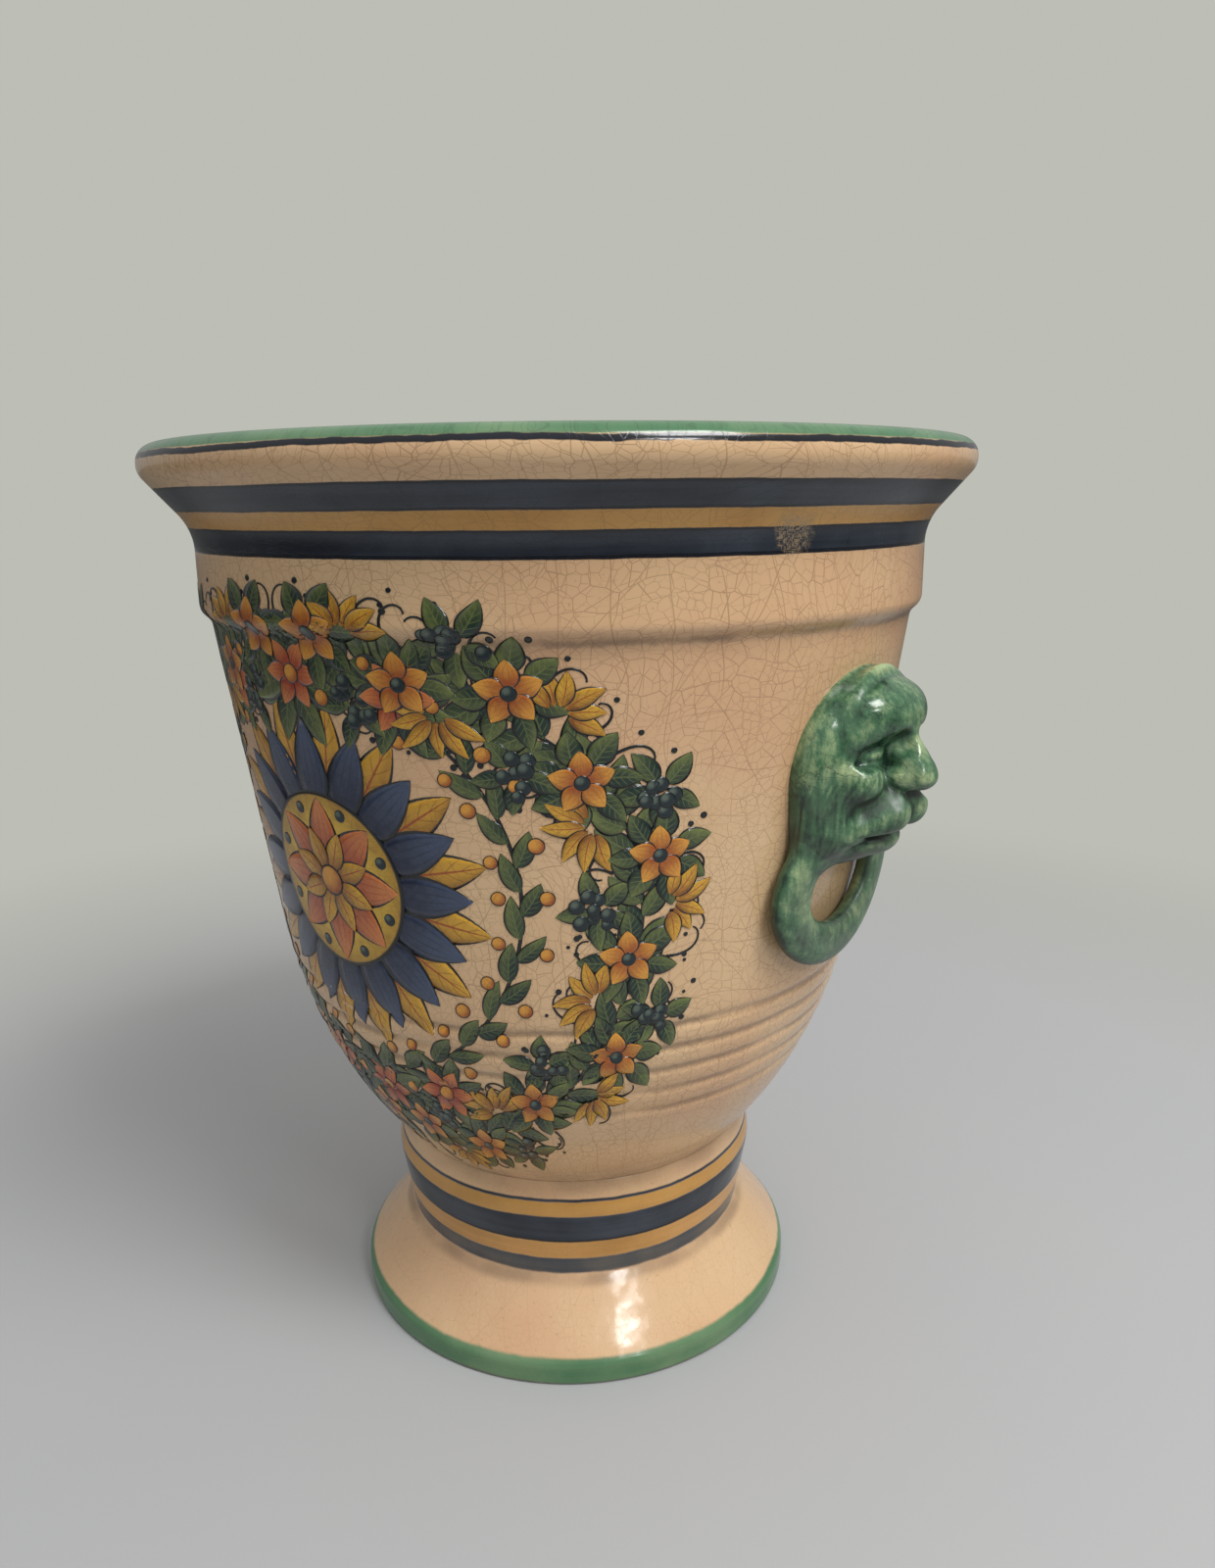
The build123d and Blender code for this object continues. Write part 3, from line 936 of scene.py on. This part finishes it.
def pooling_and_shade(points, distance):
    """Hollow and ridge values in 0 to 1, from the distance a step outside and inside each place. The hollow
    value is partly pooled glaze and partly painted shade: it rises in recesses and on faces that look down.
    """
    steps = np.eye(3) * 0.2
    normal = np.stack([distance(points + step) - distance(points - step) for step in steps], -1)
    normal /= np.maximum(np.linalg.norm(normal, axis=-1, keepdims=True), 1e-9)
    # Painted shade: recesses, and more so faces that look down, get a higher hollow value, which darkens the
    # glaze as shade would; in recesses it also stands for pooled glaze.
    hollow = 1 - distance(points + normal * 2.6) / 2.6 + 0.45 * np.clip(-normal[..., 2], 0, 1)
    ridge = 1 + np.maximum(distance(points - normal * 3.4), -3.4) / 3.4
    return np.clip(hollow * 1.7, 0, 1), np.clip(ridge * 1.6 - 0.1, 0, 1)


def from_mask_frame(place, size, middle, side):
    """Places in the pot's frame of out, across and up in a mask's frame, on the +X or -X side."""
    lean = wall_lean(size)
    out, across, up = place[..., 0] * MM, place[..., 1] * MM, place[..., 2] * MM
    x = wall_radius(size, middle) + out * math.cos(lean) + up * math.sin(lean)
    z = middle - out * math.sin(lean) + up * math.cos(lean)
    return np.stack([side * x, side * across, z], -1)


def place_pair(context, kind, piece, points, marks, **joined):
    """Places a green piece and its like on the two sides of the pot, from points in a mask's frame."""
    size, middle = context.scene.cachepot_sizes, context.scene.cachepot_mask.middle
    glaze = green_glaze(f"{kind}_glaze", context.scene.cachepot_glaze)
    marks = {key: value[None] for key, value in marks.items()}
    for name, side in (("right", 1), ("left", -1)):
        places = from_mask_frame(points, size, middle, side)[None]
        mesh = grid_mesh(f"{kind}_{name}", places, wrap=True, marks=marks, **joined)
        add_piece(f"{piece}_{name}", mesh, glaze, "green_glaze", f"{kind}_{name}")


class CACHEPOT_OT_stage(bpy.types.Operator):
    """Camera where the photographer stood, a pale floor and soft light"""

    bl_idname = "cachepot.stage"
    bl_label = "Stage"

    def execute(self, context):
        stage = context.scene.cachepot_stage
        self.camera(context, stage)
        self.lights(context, stage)
        self.floor(context, stage)
        context.scene.view_settings.view_transform = "Standard"
        return {"FINISHED"}

    def camera(self, context, stage):
        """Camera axes from its heading, pitch and roll, turned round the pot by its azimuth."""
        ahead = np.array([
            math.sin(stage.yaw) * math.cos(stage.pitch),
            math.cos(stage.yaw) * math.cos(stage.pitch),
            -math.sin(stage.pitch),
        ])
        level = np.array([math.cos(stage.yaw), -math.sin(stage.yaw), 0.0])
        above = np.cross(level, ahead)
        right = math.cos(stage.roll) * level + math.sin(stage.roll) * above
        up = math.cos(stage.roll) * above - math.sin(stage.roll) * level
        data = bpy.data.cameras.new("camera")
        data.sensor_width = 36
        data.lens = stage.lens
        data.clip_start = 0.01
        camera = bpy.data.objects.new("camera", data)
        context.scene.collection.objects.link(camera)
        axes = Matrix(np.column_stack([right, up, -ahead]).tolist()).to_4x4()
        axes.translation = (0, -stage.distance, stage.eye)
        camera.matrix_world = Matrix.Rotation(stage.azimuth, 4, "Z") @ axes
        context.scene.camera = camera

    def lights(self, context, stage):
        """A key lamp from the upper right, a small lamp for the glints and a sky brightest overhead."""
        lamps = {
            "key": (stage.key, 0.45, 0.45, 40.0, 54.0, 1.3),
            "window": (stage.window, 0.27, 0.075, 28.3, 31.5, 1.3),
        }
        for name, (power, wide, tall, turn, rise, far) in lamps.items():
            data = bpy.data.lights.new(name, "AREA")
            data.energy = power
            data.shape = "RECTANGLE"
            data.size, data.size_y = wide, tall
            lamp = bpy.data.objects.new(name, data)
            context.scene.collection.objects.link(lamp)
            about = Matrix.Rotation(stage.azimuth + math.radians(turn), 4, "Z")
            tip = Matrix.Rotation(math.radians(90 - rise), 4, "X")
            middle, back = Matrix.Translation((0, 0, 0.14)), Matrix.Translation((0, 0, far))
            lamp.matrix_world = middle @ about @ tip @ back
        world = bpy.data.worlds.new("sky")
        context.scene.world = world
        sky = Nodes(world)
        way = sky.node("ShaderNodeTexCoord", output="Generated")
        (rise,) = sky.parts(way, "Z")
        direct = sky.node("ShaderNodeLightPath", output="Is Camera Ray")
        high = sky.node("ShaderNodeBackground", None, {"Color": (1, 1, 1), "Strength": stage.sky})
        low = sky.node("ShaderNodeBackground", None, {"Color": (1, 1, 1), "Strength": stage.haze})
        soft = sky.node("ShaderNodeMixShader", None, {0: rise.step(-0.1, 0.9), 1: low, 2: high})
        seen = sky.node("ShaderNodeBackground", None, {"Color": stage.backdrop})
        both = sky.node("ShaderNodeMixShader", None, {0: direct, 1: soft, 2: seen})
        sky.node("ShaderNodeOutputWorld", None, {"Surface": both})

    def floor(self, context, stage):
        """A wide pale disc that dims away from the pot and, to the camera, runs into the backdrop."""
        turn = np.linspace(0, 2 * np.pi, 96, endpoint=False)
        radius = np.linspace(0, 6.0, 4)[:, None]
        disc = np.stack([radius * np.cos(turn), radius * np.sin(turn), np.zeros((4, 96))], -1)
        paint = Paint("floor")
        away = paint.node("ShaderNodeVectorMath", {"operation": "LENGTH"}, {0: paint.where}, "Value")
        nap = paint.noise(1500, 2).step(0.3, 0.7) * 0.10 + paint.noise(7, 3).step(0.3, 0.7) * 0.10
        tint = paint.mix(nap, stage.ground, stage.backdrop)
        tint = paint.mix(away.step(0.30, 0.90), tint, stage.dusk)
        cloth = paint.node("ShaderNodeBsdfPrincipled", None, {"Base Color": tint, "Roughness": 0.9})
        direct = paint.node("ShaderNodeLightPath", output="Is Camera Ray")
        far = paint.node("ShaderNodeEmission", None, {"Color": stage.backdrop})
        both = paint.node("ShaderNodeMixShader", None, {0: away.step(0.20, 0.62) * direct, 1: cloth, 2: far})
        paint.node("ShaderNodeOutputMaterial", None, {"Surface": both})
        mesh = grid_mesh("floor", disc[None], wrap=True, poles=(True, False))
        mesh.materials.append(paint.material)
        ground = bpy.data.objects.new("floor", mesh)
        context.scene.collection.objects.link(ground)


class CACHEPOT_OT_bowl(bpy.types.Operator):
    """Turned bowl with the rim's painted bands"""

    bl_idname = "cachepot.bowl"
    bl_label = "Bowl"

    def execute(self, context):
        size = context.scene.cachepot_sizes
        edge = context.scene.cachepot_bands
        tones = context.scene.cachepot_glaze
        outer, inner = outer_outline(size), inner_outline(size)
        outline = np.concatenate([[(0.0, size.waist_height)], outer, inner[1:], [(0.0, inner[-1, 1])]])
        points = lathe(outline)
        inside = (np.arange(len(outline)) > len(outer)) & (outline[:, 1] < edge.lip)
        marks = {"inside": np.broadcast_to(inside[None, :, None], points.shape[:3]).astype(float)}
        mesh = grid_mesh("bowl", points, wrap=True, poles=(True, True), marks=marks)
        thin = 0.00055
        bands = [
            (edge.lip, 1.0, tones.green_edge, tones.green_worn, 0.00025, 0.3, 1),
            (edge.navy_low, edge.navy_top, tones.navy, tones.navy_worn, 0.00016, 0.5, 1),
            (edge.ochre, edge.navy_low, tones.ochre, tones.ochre_deep, 0.00016, 0.4, 1),
            (edge.navy_two, edge.ochre, tones.navy, tones.navy_worn, 0.00016, 0.5, 1),
            (edge.lip_line, edge.lip, tones.line, tones.navy, 0.00018, 0.5, 2.6),
            (edge.navy_top - thin, edge.navy_top, tones.line, tones.navy, 0.00012, 0.5, 1),
            (edge.navy_low, edge.navy_low + thin, tones.line, tones.navy, 0.00012, 0.5, 1),
            (edge.ochre - thin, edge.ochre, tones.line, tones.navy, 0.00012, 0.5, 1),
            (edge.navy_two, edge.navy_two + 1.6 * thin, tones.line, tones.navy, 0.00012, 0.5, 1),
        ]
        paint, tint, rough, relief = body_glaze("bowl_glaze", bands, tones)
        tint = self.scuff(paint, tint, size, edge, tones)
        tint = self.grime_and_shade(paint, tint, size, tones)
        add_piece("bowl_turned", mesh, paint.finish(tint, rough, relief), "glazed_body", "bowl")
        return {"FINISHED"}

    def scuff(self, paint, tint, size, edge, tones):
        """Rubbed patch on the lower navy band, where the glaze has gone pale."""
        turn = math.radians(70)
        collar = size.rim - size.overhang
        spot = (collar * math.sin(turn), -collar * math.cos(turn), (edge.ochre + edge.navy_two) / 2 + 0.0022)
        ends = {0: paint.where, 1: spot}
        away = paint.node("ShaderNodeVectorMath", {"operation": "DISTANCE"}, ends, "Value")
        rubbed = (away + (paint.noise(230, 4) - 0.5) * 0.010).step(0.0068, 0.0034)
        weft = (paint.noise(1, 2, (500, 500, 2600)) - 0.5).size()
        warp = (paint.noise(1, 2, (2600, 2600, 500)) - 0.5).size()
        return paint.mix(rubbed * weft.most(warp).step(0.04, 0.16), tint, tones.rubbed)

    def grime_and_shade(self, paint, tint, size, tones):
        """Darkening at the foot of the step, in the turning grooves and above the waist, ragged and broken:
        dirt in the grooves, dirt and painted shadow in a thin line at the step with a faint band of painted
        shade round it, and painted shade on the bowl's underside above the waist.
        """
        ragged = (paint.noise(60, 3) - 0.5) * 0.0016 + (paint.noise(420, 3) - 0.5) * 0.0016
        level = paint.height + ragged
        step_foot = size.height - size.collar_drop - size.step
        # Dirt and painted shadow in a thin line under the collar's step, then a faint wider band of painted
        # shade.
        dirt_and_shade = level.band(step_foot - 0.0006, step_foot + 0.0012, 0.0008) * 0.62
        dirt_and_shade = dirt_and_shade.most(level.band(step_foot - 0.004, step_foot + 0.002, 0.003) * 0.16)
        for i in range(GROOVES):
            middle = size.groove_low + i * size.groove_pitch
            dirt_and_shade = dirt_and_shade.most((level - middle).size().step(0.0018, 0.0002) * 0.50)
        # Painted shade on the bowl's underside, darker down to the waist where the foot meets it.
        dirt_and_shade = dirt_and_shade.most(level.step(size.waist_height + 0.010, size.waist_height) * 0.45)
        shown = paint.noise(48, 3).step(0.30, 0.58) * (1 - paint.mark("inside"))
        return paint.mix(dirt_and_shade * shown, tint, tones.grime_and_shade)


class CACHEPOT_OT_foot(bpy.types.Operator):
    """Pedestal foot with its painted bands and green edge"""

    bl_idname = "cachepot.foot"
    bl_label = "Foot"

    def execute(self, context):
        size = context.scene.cachepot_sizes
        edge = context.scene.cachepot_bands
        tones = context.scene.cachepot_glaze
        mesh = grid_mesh("foot", lathe(foot_outline(size)[:-1]), wrap=True, loop=True)
        line = 0.00045
        bands = [
            (-1.0, edge.foot_green, tones.green_edge, tones.green_worn, 0.0005, 0.3, 2),
            (edge.foot_yellow, edge.waist_line - line, tones.ochre, tones.ochre_deep, 0.00028, 0.4, 1.5),
            (edge.foot_navy, edge.foot_yellow, tones.navy, tones.navy_worn, 0.00028, 0.4, 1.5),
            (edge.foot_orange, edge.foot_navy, tones.orange, tones.ochre_deep, 0.00028, 0.4, 1.5),
            (edge.foot_grey, edge.foot_orange, tones.navy_worn, tones.grey, 0.00035, 0.3, 2),
            (edge.waist_line - line, edge.waist_line + line, tones.navy_worn, tones.navy, 0.00028, 0.3, 1.5),
            (edge.foot_navy - line, edge.foot_navy + line, tones.line, tones.navy, 0.00022, 0.4, 1.5),
        ]
        paint, tint, rough, relief = body_glaze("foot_glaze", bands, tones, -1, 0.35)
        # Darker in a ragged, broken way: dirt and painted shadow in the crease above the flare, darker next
        # to the ground, and painted shade under the bowl where the foot meets it.
        level = paint.height + (paint.noise(45, 3) - 0.5) * 0.002
        dirt_and_shade = level.band(edge.foot_grey - 0.003, edge.foot_grey, 0.0012).most(level.step(0.0016, 0.0004))
        dirt_and_shade = dirt_and_shade.most(level.band(edge.waist_line + 0.002, 0.07, 0.002) * 0.6)
        tint = paint.mix(dirt_and_shade * paint.noise(38, 3).step(0.30, 0.62) * 0.5, tint, tones.grime_and_shade)
        relief = relief + paint.noise(64, 2) * 6
        add_piece("foot_turned", mesh, paint.finish(tint, rough, relief), "glazed_body", "pedestal_foot")
        return {"FINISHED"}


class CACHEPOT_OT_masks(bpy.types.Operator):
    """Lion mask on each side, pressed in clay and glazed green"""

    bl_idname = "cachepot.masks"
    bl_label = "Masks"

    def execute(self, context):
        size = context.scene.cachepot_sizes
        mask = context.scene.cachepot_mask
        ring = context.scene.cachepot_ring
        curve = 2 * wall_radius(size, mask.middle) / MM

        def distance(where):
            behind = -where[..., 1] ** 2 / curve - mask.bed / MM - where[..., 0]
            under = MASK_FOOT - where[..., 2]
            return np.maximum(handle_distance(where, mask, ring, "mask"), np.maximum(behind, under))

        points = trace(*self.rays(), MASK_REACH, distance)
        # The hollow mark darkens the green glaze: pooled glaze in recesses, and painted shade there and under
        # overhangs.
        hollow, ridge = pooling_and_shade(points, distance)
        marks = {"hollow": hollow, "ridge": ridge, "strand": mane(points, mask)}
        place_pair(context, "mask", "lion_mask", points, marks, poles=(True, True))
        return {"FINISHED"}

    def rays(self):
        """Rays that leave an upright core: rows go from its top to its foot, columns go round it."""
        rise = np.linspace(np.pi / 2, -np.pi / 2, 250)[:, None]
        front = np.linspace(-1.85, 1.85, 270)
        back = np.linspace(1.85, 2 * np.pi - 1.85, 34)[1:-1]
        turn = np.concatenate([front, back])[None]
        flat = np.cos(rise)
        way = np.stack([flat * np.cos(turn), flat * np.sin(turn), np.sin(rise) + 0 * turn], -1)
        start = np.zeros_like(way)
        start[..., 0] = -0.4
        start[..., 2] = 15.0 * np.sin(rise) - 1.0
        return start, way


class CACHEPOT_OT_rings(bpy.types.Operator):
    """Ring under each mask, run into its jaw"""

    bl_idname = "cachepot.rings"
    bl_label = "Rings"

    def execute(self, context):
        mask = context.scene.cachepot_mask
        ring = context.scene.cachepot_ring

        def distance(where):
            return handle_distance(where, mask, ring, "ring")

        points = trace(*self.rays(ring), ring.half_width / MM + 2.6, distance)
        # The hollow mark darkens the green glaze: pooled glaze in recesses, and painted shade there and under
        # overhangs.
        hollow, ridge = pooling_and_shade(points, distance)
        place_pair(context, "ring", "hoop", points, {"hollow": hollow, "ridge": ridge}, loop=True)
        return {"FINISHED"}

    def rays(self, ring):
        """Rays that leave the bent oval through the middle of the ring's section, all round the section."""
        turn = np.linspace(0, 2 * np.pi, 200, endpoint=False)[:, None]
        swing = np.linspace(0, 2 * np.pi, 72, endpoint=False)[None]
        across, up = ring.across * np.cos(turn), ring.up * np.sin(turn) - ring.drop
        start = np.stack([ring.standoff - across**2 / (2 * ring.bend), across, up], -1) / MM
        spoke = np.stack([0 * turn, ring.up * np.cos(turn), ring.across * np.sin(turn)], -1)
        spoke /= np.linalg.norm(spoke, axis=-1, keepdims=True)
        way = np.cos(swing)[..., None] * spoke + np.sin(swing)[..., None] * np.array([1.0, 0, 0])
        return np.broadcast_to(start, way.shape), way


class CACHEPOT_OT_decor(bpy.types.Operator):
    """Painted front: a great blossom between two flowering vines"""

    bl_idname = "cachepot.decor"
    bl_label = "Painted front"

    def execute(self, context):
        self.size = context.scene.cachepot_sizes
        self.decor = context.scene.cachepot_decor
        self.colours = context.scene.cachepot_paint
        self.tones = context.scene.cachepot_glaze
        self.chance = np.random.default_rng(self.decor.seed)
        self.great_blossom()
        self.laurel()
        self.vines()
        self.bunches()
        return {"FINISHED"}

    def paint(self, name, draw, drawn, layer, both=True):
        """Adds one painted piece with its own paint, on both sides of the front's middle or as it is."""
        flat, grid = drawn
        flat = np.concatenate([flat, flat * [-1, 1]]) if both else flat
        material = painted(name, self.tones, self.colours, draw)
        tone = self.chance.random(len(flat))
        paint_piece(name, material, self.size, self.decor, flat, grid, layer, tone)

    def about(self, low, high, count):
        """Random values between low and high."""
        return low + (high - low) * self.chance.random(count)

    def great_blossom(self):
        """Blossom with gold petals behind blue ones, round a yellow heart with a rosette."""
        middle = np.array([[0.0, self.decor.blossom_height / MM]])
        reach = self.decor.blossom / MM
        start, long, half = 0.62 * reach, 0.52 * reach, 0.12 * reach
        self.flower("gold_petals", middle, 16, start, long, half, gold_leaf_tint, 0, np.pi / 16)
        start, long, half = 0.44 * reach, 0.58 * reach, 0.138 * reach
        self.flower("blue_petals", middle, 16, start, long, half, blue_tint, 2)
        self.paint("blossom_heart", field_tint, discs(middle, [0.57 * reach], 41), 4, False)
        self.flower("rosette", middle, 8, 4.0, 19.0, 5.6, red_tint, 5)
        self.flower("rosette_heart", middle, 8, 3.0, 12.0, 3.5, gold_leaf_tint, 7, np.pi / 8)
        self.paint("rosette_eye", dab_tint, discs(middle, [4.4], 11), 9, False)
        turn = np.arange(8) * np.pi / 4 + np.pi / 8
        self.paint("rosette_dots", berry_tint, discs(middle + 20.5 * way_of(turn), np.full(8, 1.7)), 5, False)

    def flower(self, name, middle, petals, start, long, half, draw, layer, turned=0.0, both=False):
        """Flowers with petals all round each middle, on both sides of the front's middle or as they are."""
        middle = np.repeat(np.asarray(middle, float), petals, 0)
        turn = np.tile(turned + np.arange(petals) * 2 * np.pi / petals, len(middle) // petals)
        ones = np.ones(len(turn))
        drawn = leaves(middle + start * way_of(turn), turn, long * ones, half * ones, 0 * ones)
        self.paint(name, draw, drawn, layer, both)

    def vines(self):
        """Vine up each side with blossoms among leaves, yellow sprays, berries, tendrils and seeds."""
        low = [(3, 78), (30, 80), (60, 95), (79, 123)]
        high = [(86, 156), (77, 186), (54, 206), (28, 216), (2, 218)]
        vine = smooth_path(low + high, 400)
        way = np.arctan2(*np.gradient(vine, axis=0).T[::-1])
        out = way - np.pi / 2
        self.paint("vine_stems", line_tint, strokes(vine[None, ::4], np.full((1, 100), 0.5)), 0)
        count = 74
        at = np.linspace(4, 395, count).astype(int)
        side = np.where(np.arange(count) % 2, 1, -1)
        heading = way[at] + side * self.about(0.6, 1.2, count)
        long, half = self.about(9.5, 13, count), self.about(2.7, 3.6, count)
        self.paint("vine_leaves", leaf_tint, leaves(vine[at], heading, long, half, -0.2 * side), 1)
        self.blossoms(vine, out)
        self.sprays(vine, out)
        self.tendrils(vine, out)

    def blossoms(self, vine, out):
        """Orange blossoms at even places along the vine, in turn outside and inside it, each amid leaves."""
        count, each = 10, 7
        at = np.linspace(14, 384, count).astype(int)
        swing = np.where(np.arange(count) % 2, 5.5, -3.0) + self.about(-1, 1, count)
        spots = vine[at] + swing[:, None] * way_of(out[at])
        turn = np.tile(np.arange(each) * 2 * np.pi / each, count) + np.repeat(self.about(0, 1, count), each)
        foot = np.repeat(spots, each, 0) + 4.5 * way_of(turn)
        bend = self.about(-0.25, 0.25, len(turn))
        long, half = self.about(8, 10.5, len(turn)), self.about(2.8, 3.5, len(turn))
        self.paint("blossom_leaves", leaf_tint, leaves(foot, turn, long, half, bend), 3)
        self.flower("blossom_petals", spots, 5, 0.8, 7.2, 3.1, orange_tint, 6, 0.4, True)
        self.paint("blossom_eyes", berry_tint, discs(spots, np.full(count, 1.9)), 8)

    def sprays(self, vine, out):
        """Yellow sprays outside the vine and bunches of berries with leaves inside it."""
        count, each, twigs, balls = 9, 6, 5, 9
        at = np.linspace(34, 366, count).astype(int)
        ahead = out[at] + np.where(np.arange(count) % 2, np.pi, 0)
        fan = np.tile(np.linspace(-1.2, 1.2, each), count)
        turn = np.repeat(ahead, each) + fan
        foot = np.repeat(vine[at], each, 0) + 6 * way_of(np.repeat(ahead, each)) + 2.5 * way_of(turn)
        long, half = self.about(8, 10.5, len(turn)), self.about(2.0, 2.6, len(turn))
        self.paint("yellow_sprays", gold_leaf_tint, leaves(foot, turn, long, half, 0.22 * np.sign(fan)), 4)
        spots = vine[at] - 11 * way_of(ahead)
        round_twig = np.tile(np.linspace(0, 2 * np.pi, twigs, endpoint=False), count)
        turn = round_twig + np.repeat(self.about(0, 1, count), twigs)
        foot = np.repeat(spots, twigs, 0) + 2 * way_of(turn)
        bend = self.about(-0.25, 0.25, len(turn))
        long, half = self.about(8, 10, len(turn)), self.about(2.4, 3.0, len(turn))
        self.paint("berry_leaves", leaf_tint, leaves(foot, turn, long, half, bend), 2)
        spots = np.repeat(spots, balls, 0) + 2.6 * self.chance.normal(0, 1, (count * balls, 2))
        self.paint("berry_balls", berry_tint, discs(spots, self.about(1.6, 2.2, len(spots)), 6), 5)

    def tendrils(self, vine, out):
        """Bent tendrils and small seeds on both sides of the vine."""
        count, seeds = 64, 90
        at = np.linspace(6, 394, count).astype(int)
        side = np.where(np.arange(count) % 4 < 2, 1, -1)
        heading = out[at] + np.where(np.arange(count) % 2, np.pi, 0) + 0.45 * self.chance.normal(0, 1, count)
        turn = side * self.about(2.0, 3.4, count)
        path = curls(vine[at] + 8 * way_of(heading), heading, self.about(10, 15, count), turn)
        half = np.broadcast_to(np.linspace(0.42, 0.22, path.shape[1]), path.shape[:2])
        self.paint("vine_tendrils", line_tint, strokes(path, half), 0)
        at = self.chance.integers(6, 394, seeds)
        heading = out[at] + np.where(np.arange(seeds) % 2, np.pi, 0)
        spots = vine[at] + self.about(12, 19, (seeds, 1)) * way_of(heading)
        self.paint("vine_seeds", line_tint, discs(spots, self.about(0.5, 0.9, seeds), 5), 0)

    def laurel(self):
        """Ring of narrow leaves and dabs close round the great blossom, from its foot up to its top."""
        middle = np.array([0.0, self.decor.blossom_height / MM])
        count, dabs, radius = 26, 13, 56
        turn = np.linspace(-1.45, 1.45, count)
        side = np.where(np.arange(count) % 2, 1, -1)
        heading = turn + np.pi / 2 + side * self.about(0.45, 0.75, count)
        long, half = self.about(10, 12.5, count), self.about(2.3, 2.9, count)
        stem = middle + radius * way_of(np.linspace(-1.5, 1.5, 120))
        self.paint("laurel_stems", line_tint, strokes(stem[None], np.full((1, len(stem)), 0.5)), 0)
        drawn = leaves(middle + radius * way_of(turn), heading, long, half, -0.2 * side)
        self.paint("laurel_leaves", leaf_tint, drawn, 1)
        turn = np.repeat(np.linspace(-1.4, 1.4, dabs), 2)
        out = radius + np.tile([-6.0, 7.0], dabs) + self.about(-1, 1, 2 * dabs)
        spots = middle + out[:, None] * way_of(turn + self.about(-0.04, 0.04, 2 * dabs))
        self.paint("laurel_dabs", dab_tint, discs(spots, self.about(1.8, 2.3, 2 * dabs)), 3)

    def bunches(self):
        """Flowers with leaves over and under the great blossom."""
        spots = np.array([(0, 213), (30, 209), (-30, 209), (0, 93), (26, 97), (-26, 97)])
        wide = np.repeat([1.25, 0.95, 0.95, 1.2, 0.9, 0.9], 8)
        turn = np.tile(np.arange(8) * np.pi / 4 + 0.3, len(spots))
        foot = np.repeat(spots, 8, 0)
        drawn = leaves(foot + 3 * way_of(turn), turn, 13 * wide, 3.4 * wide, np.full(len(turn), 0.15))
        self.paint("bunch_leaves", leaf_tint, drawn, 2, False)
        self.flower("bunch_flowers", spots, 6, 1.0, 8.4, 3.0, red_tint, 4)
        self.paint("bunch_hearts", dab_tint, discs(spots, np.full(len(spots), 2.6)), 6, False)


class CACHEPOT_PT_panel(bpy.types.Panel):
    """Lists the steps that make the cachepot"""

    bl_idname = "CACHEPOT_PT_panel"
    bl_label = "Cachepot"
    bl_space_type = "VIEW_3D"
    bl_region_type = "UI"
    bl_category = "Cachepot"

    def draw(self, context):
        for step in STEPS:
            self.layout.operator(step.bl_idname)
        for name, group in GROUPS.items():
            self.layout.label(text=group.__doc__)
            settings = getattr(context.scene, name)
            for key in settings.bl_rna.properties.keys():
                if key not in {"rna_type", "name"}:
                    self.layout.prop(settings, key)


GROUPS = {
    "cachepot_sizes": PotSizes,
    "cachepot_bands": BandSizes,
    "cachepot_glaze": GlazeColours,
    "cachepot_paint": PaintColours,
    "cachepot_mask": MaskSizes,
    "cachepot_ring": RingSizes,
    "cachepot_decor": DecorSizes,
    "cachepot_stage": StageSettings,
}
STEPS = (
    CACHEPOT_OT_stage,
    CACHEPOT_OT_bowl,
    CACHEPOT_OT_foot,
    CACHEPOT_OT_masks,
    CACHEPOT_OT_rings,
    CACHEPOT_OT_decor,
)


def register():
    """Adds the settings to the scene and the steps and panel to Blender."""
    for group in GROUPS.values():
        bpy.utils.register_class(group)
    for name, group in GROUPS.items():
        setattr(bpy.types.Scene, name, bpy.props.PointerProperty(type=group))
    for step in (*STEPS, CACHEPOT_PT_panel):
        bpy.utils.register_class(step)


def unregister():
    """Takes the panel, the steps and the settings away again."""
    for step in (CACHEPOT_PT_panel, *reversed(STEPS)):
        bpy.utils.unregister_class(step)
    for name in GROUPS:
        delattr(bpy.types.Scene, name)
    for group in reversed(GROUPS.values()):
        bpy.utils.unregister_class(group)


def main():
    """Registers the settings and steps, then makes every piece in order."""
    register()
    bpy.ops.cachepot.stage()
    bpy.ops.cachepot.bowl()
    bpy.ops.cachepot.foot()
    bpy.ops.cachepot.masks()
    bpy.ops.cachepot.rings()
    bpy.ops.cachepot.decor()


if __name__ == "__main__":
    main()
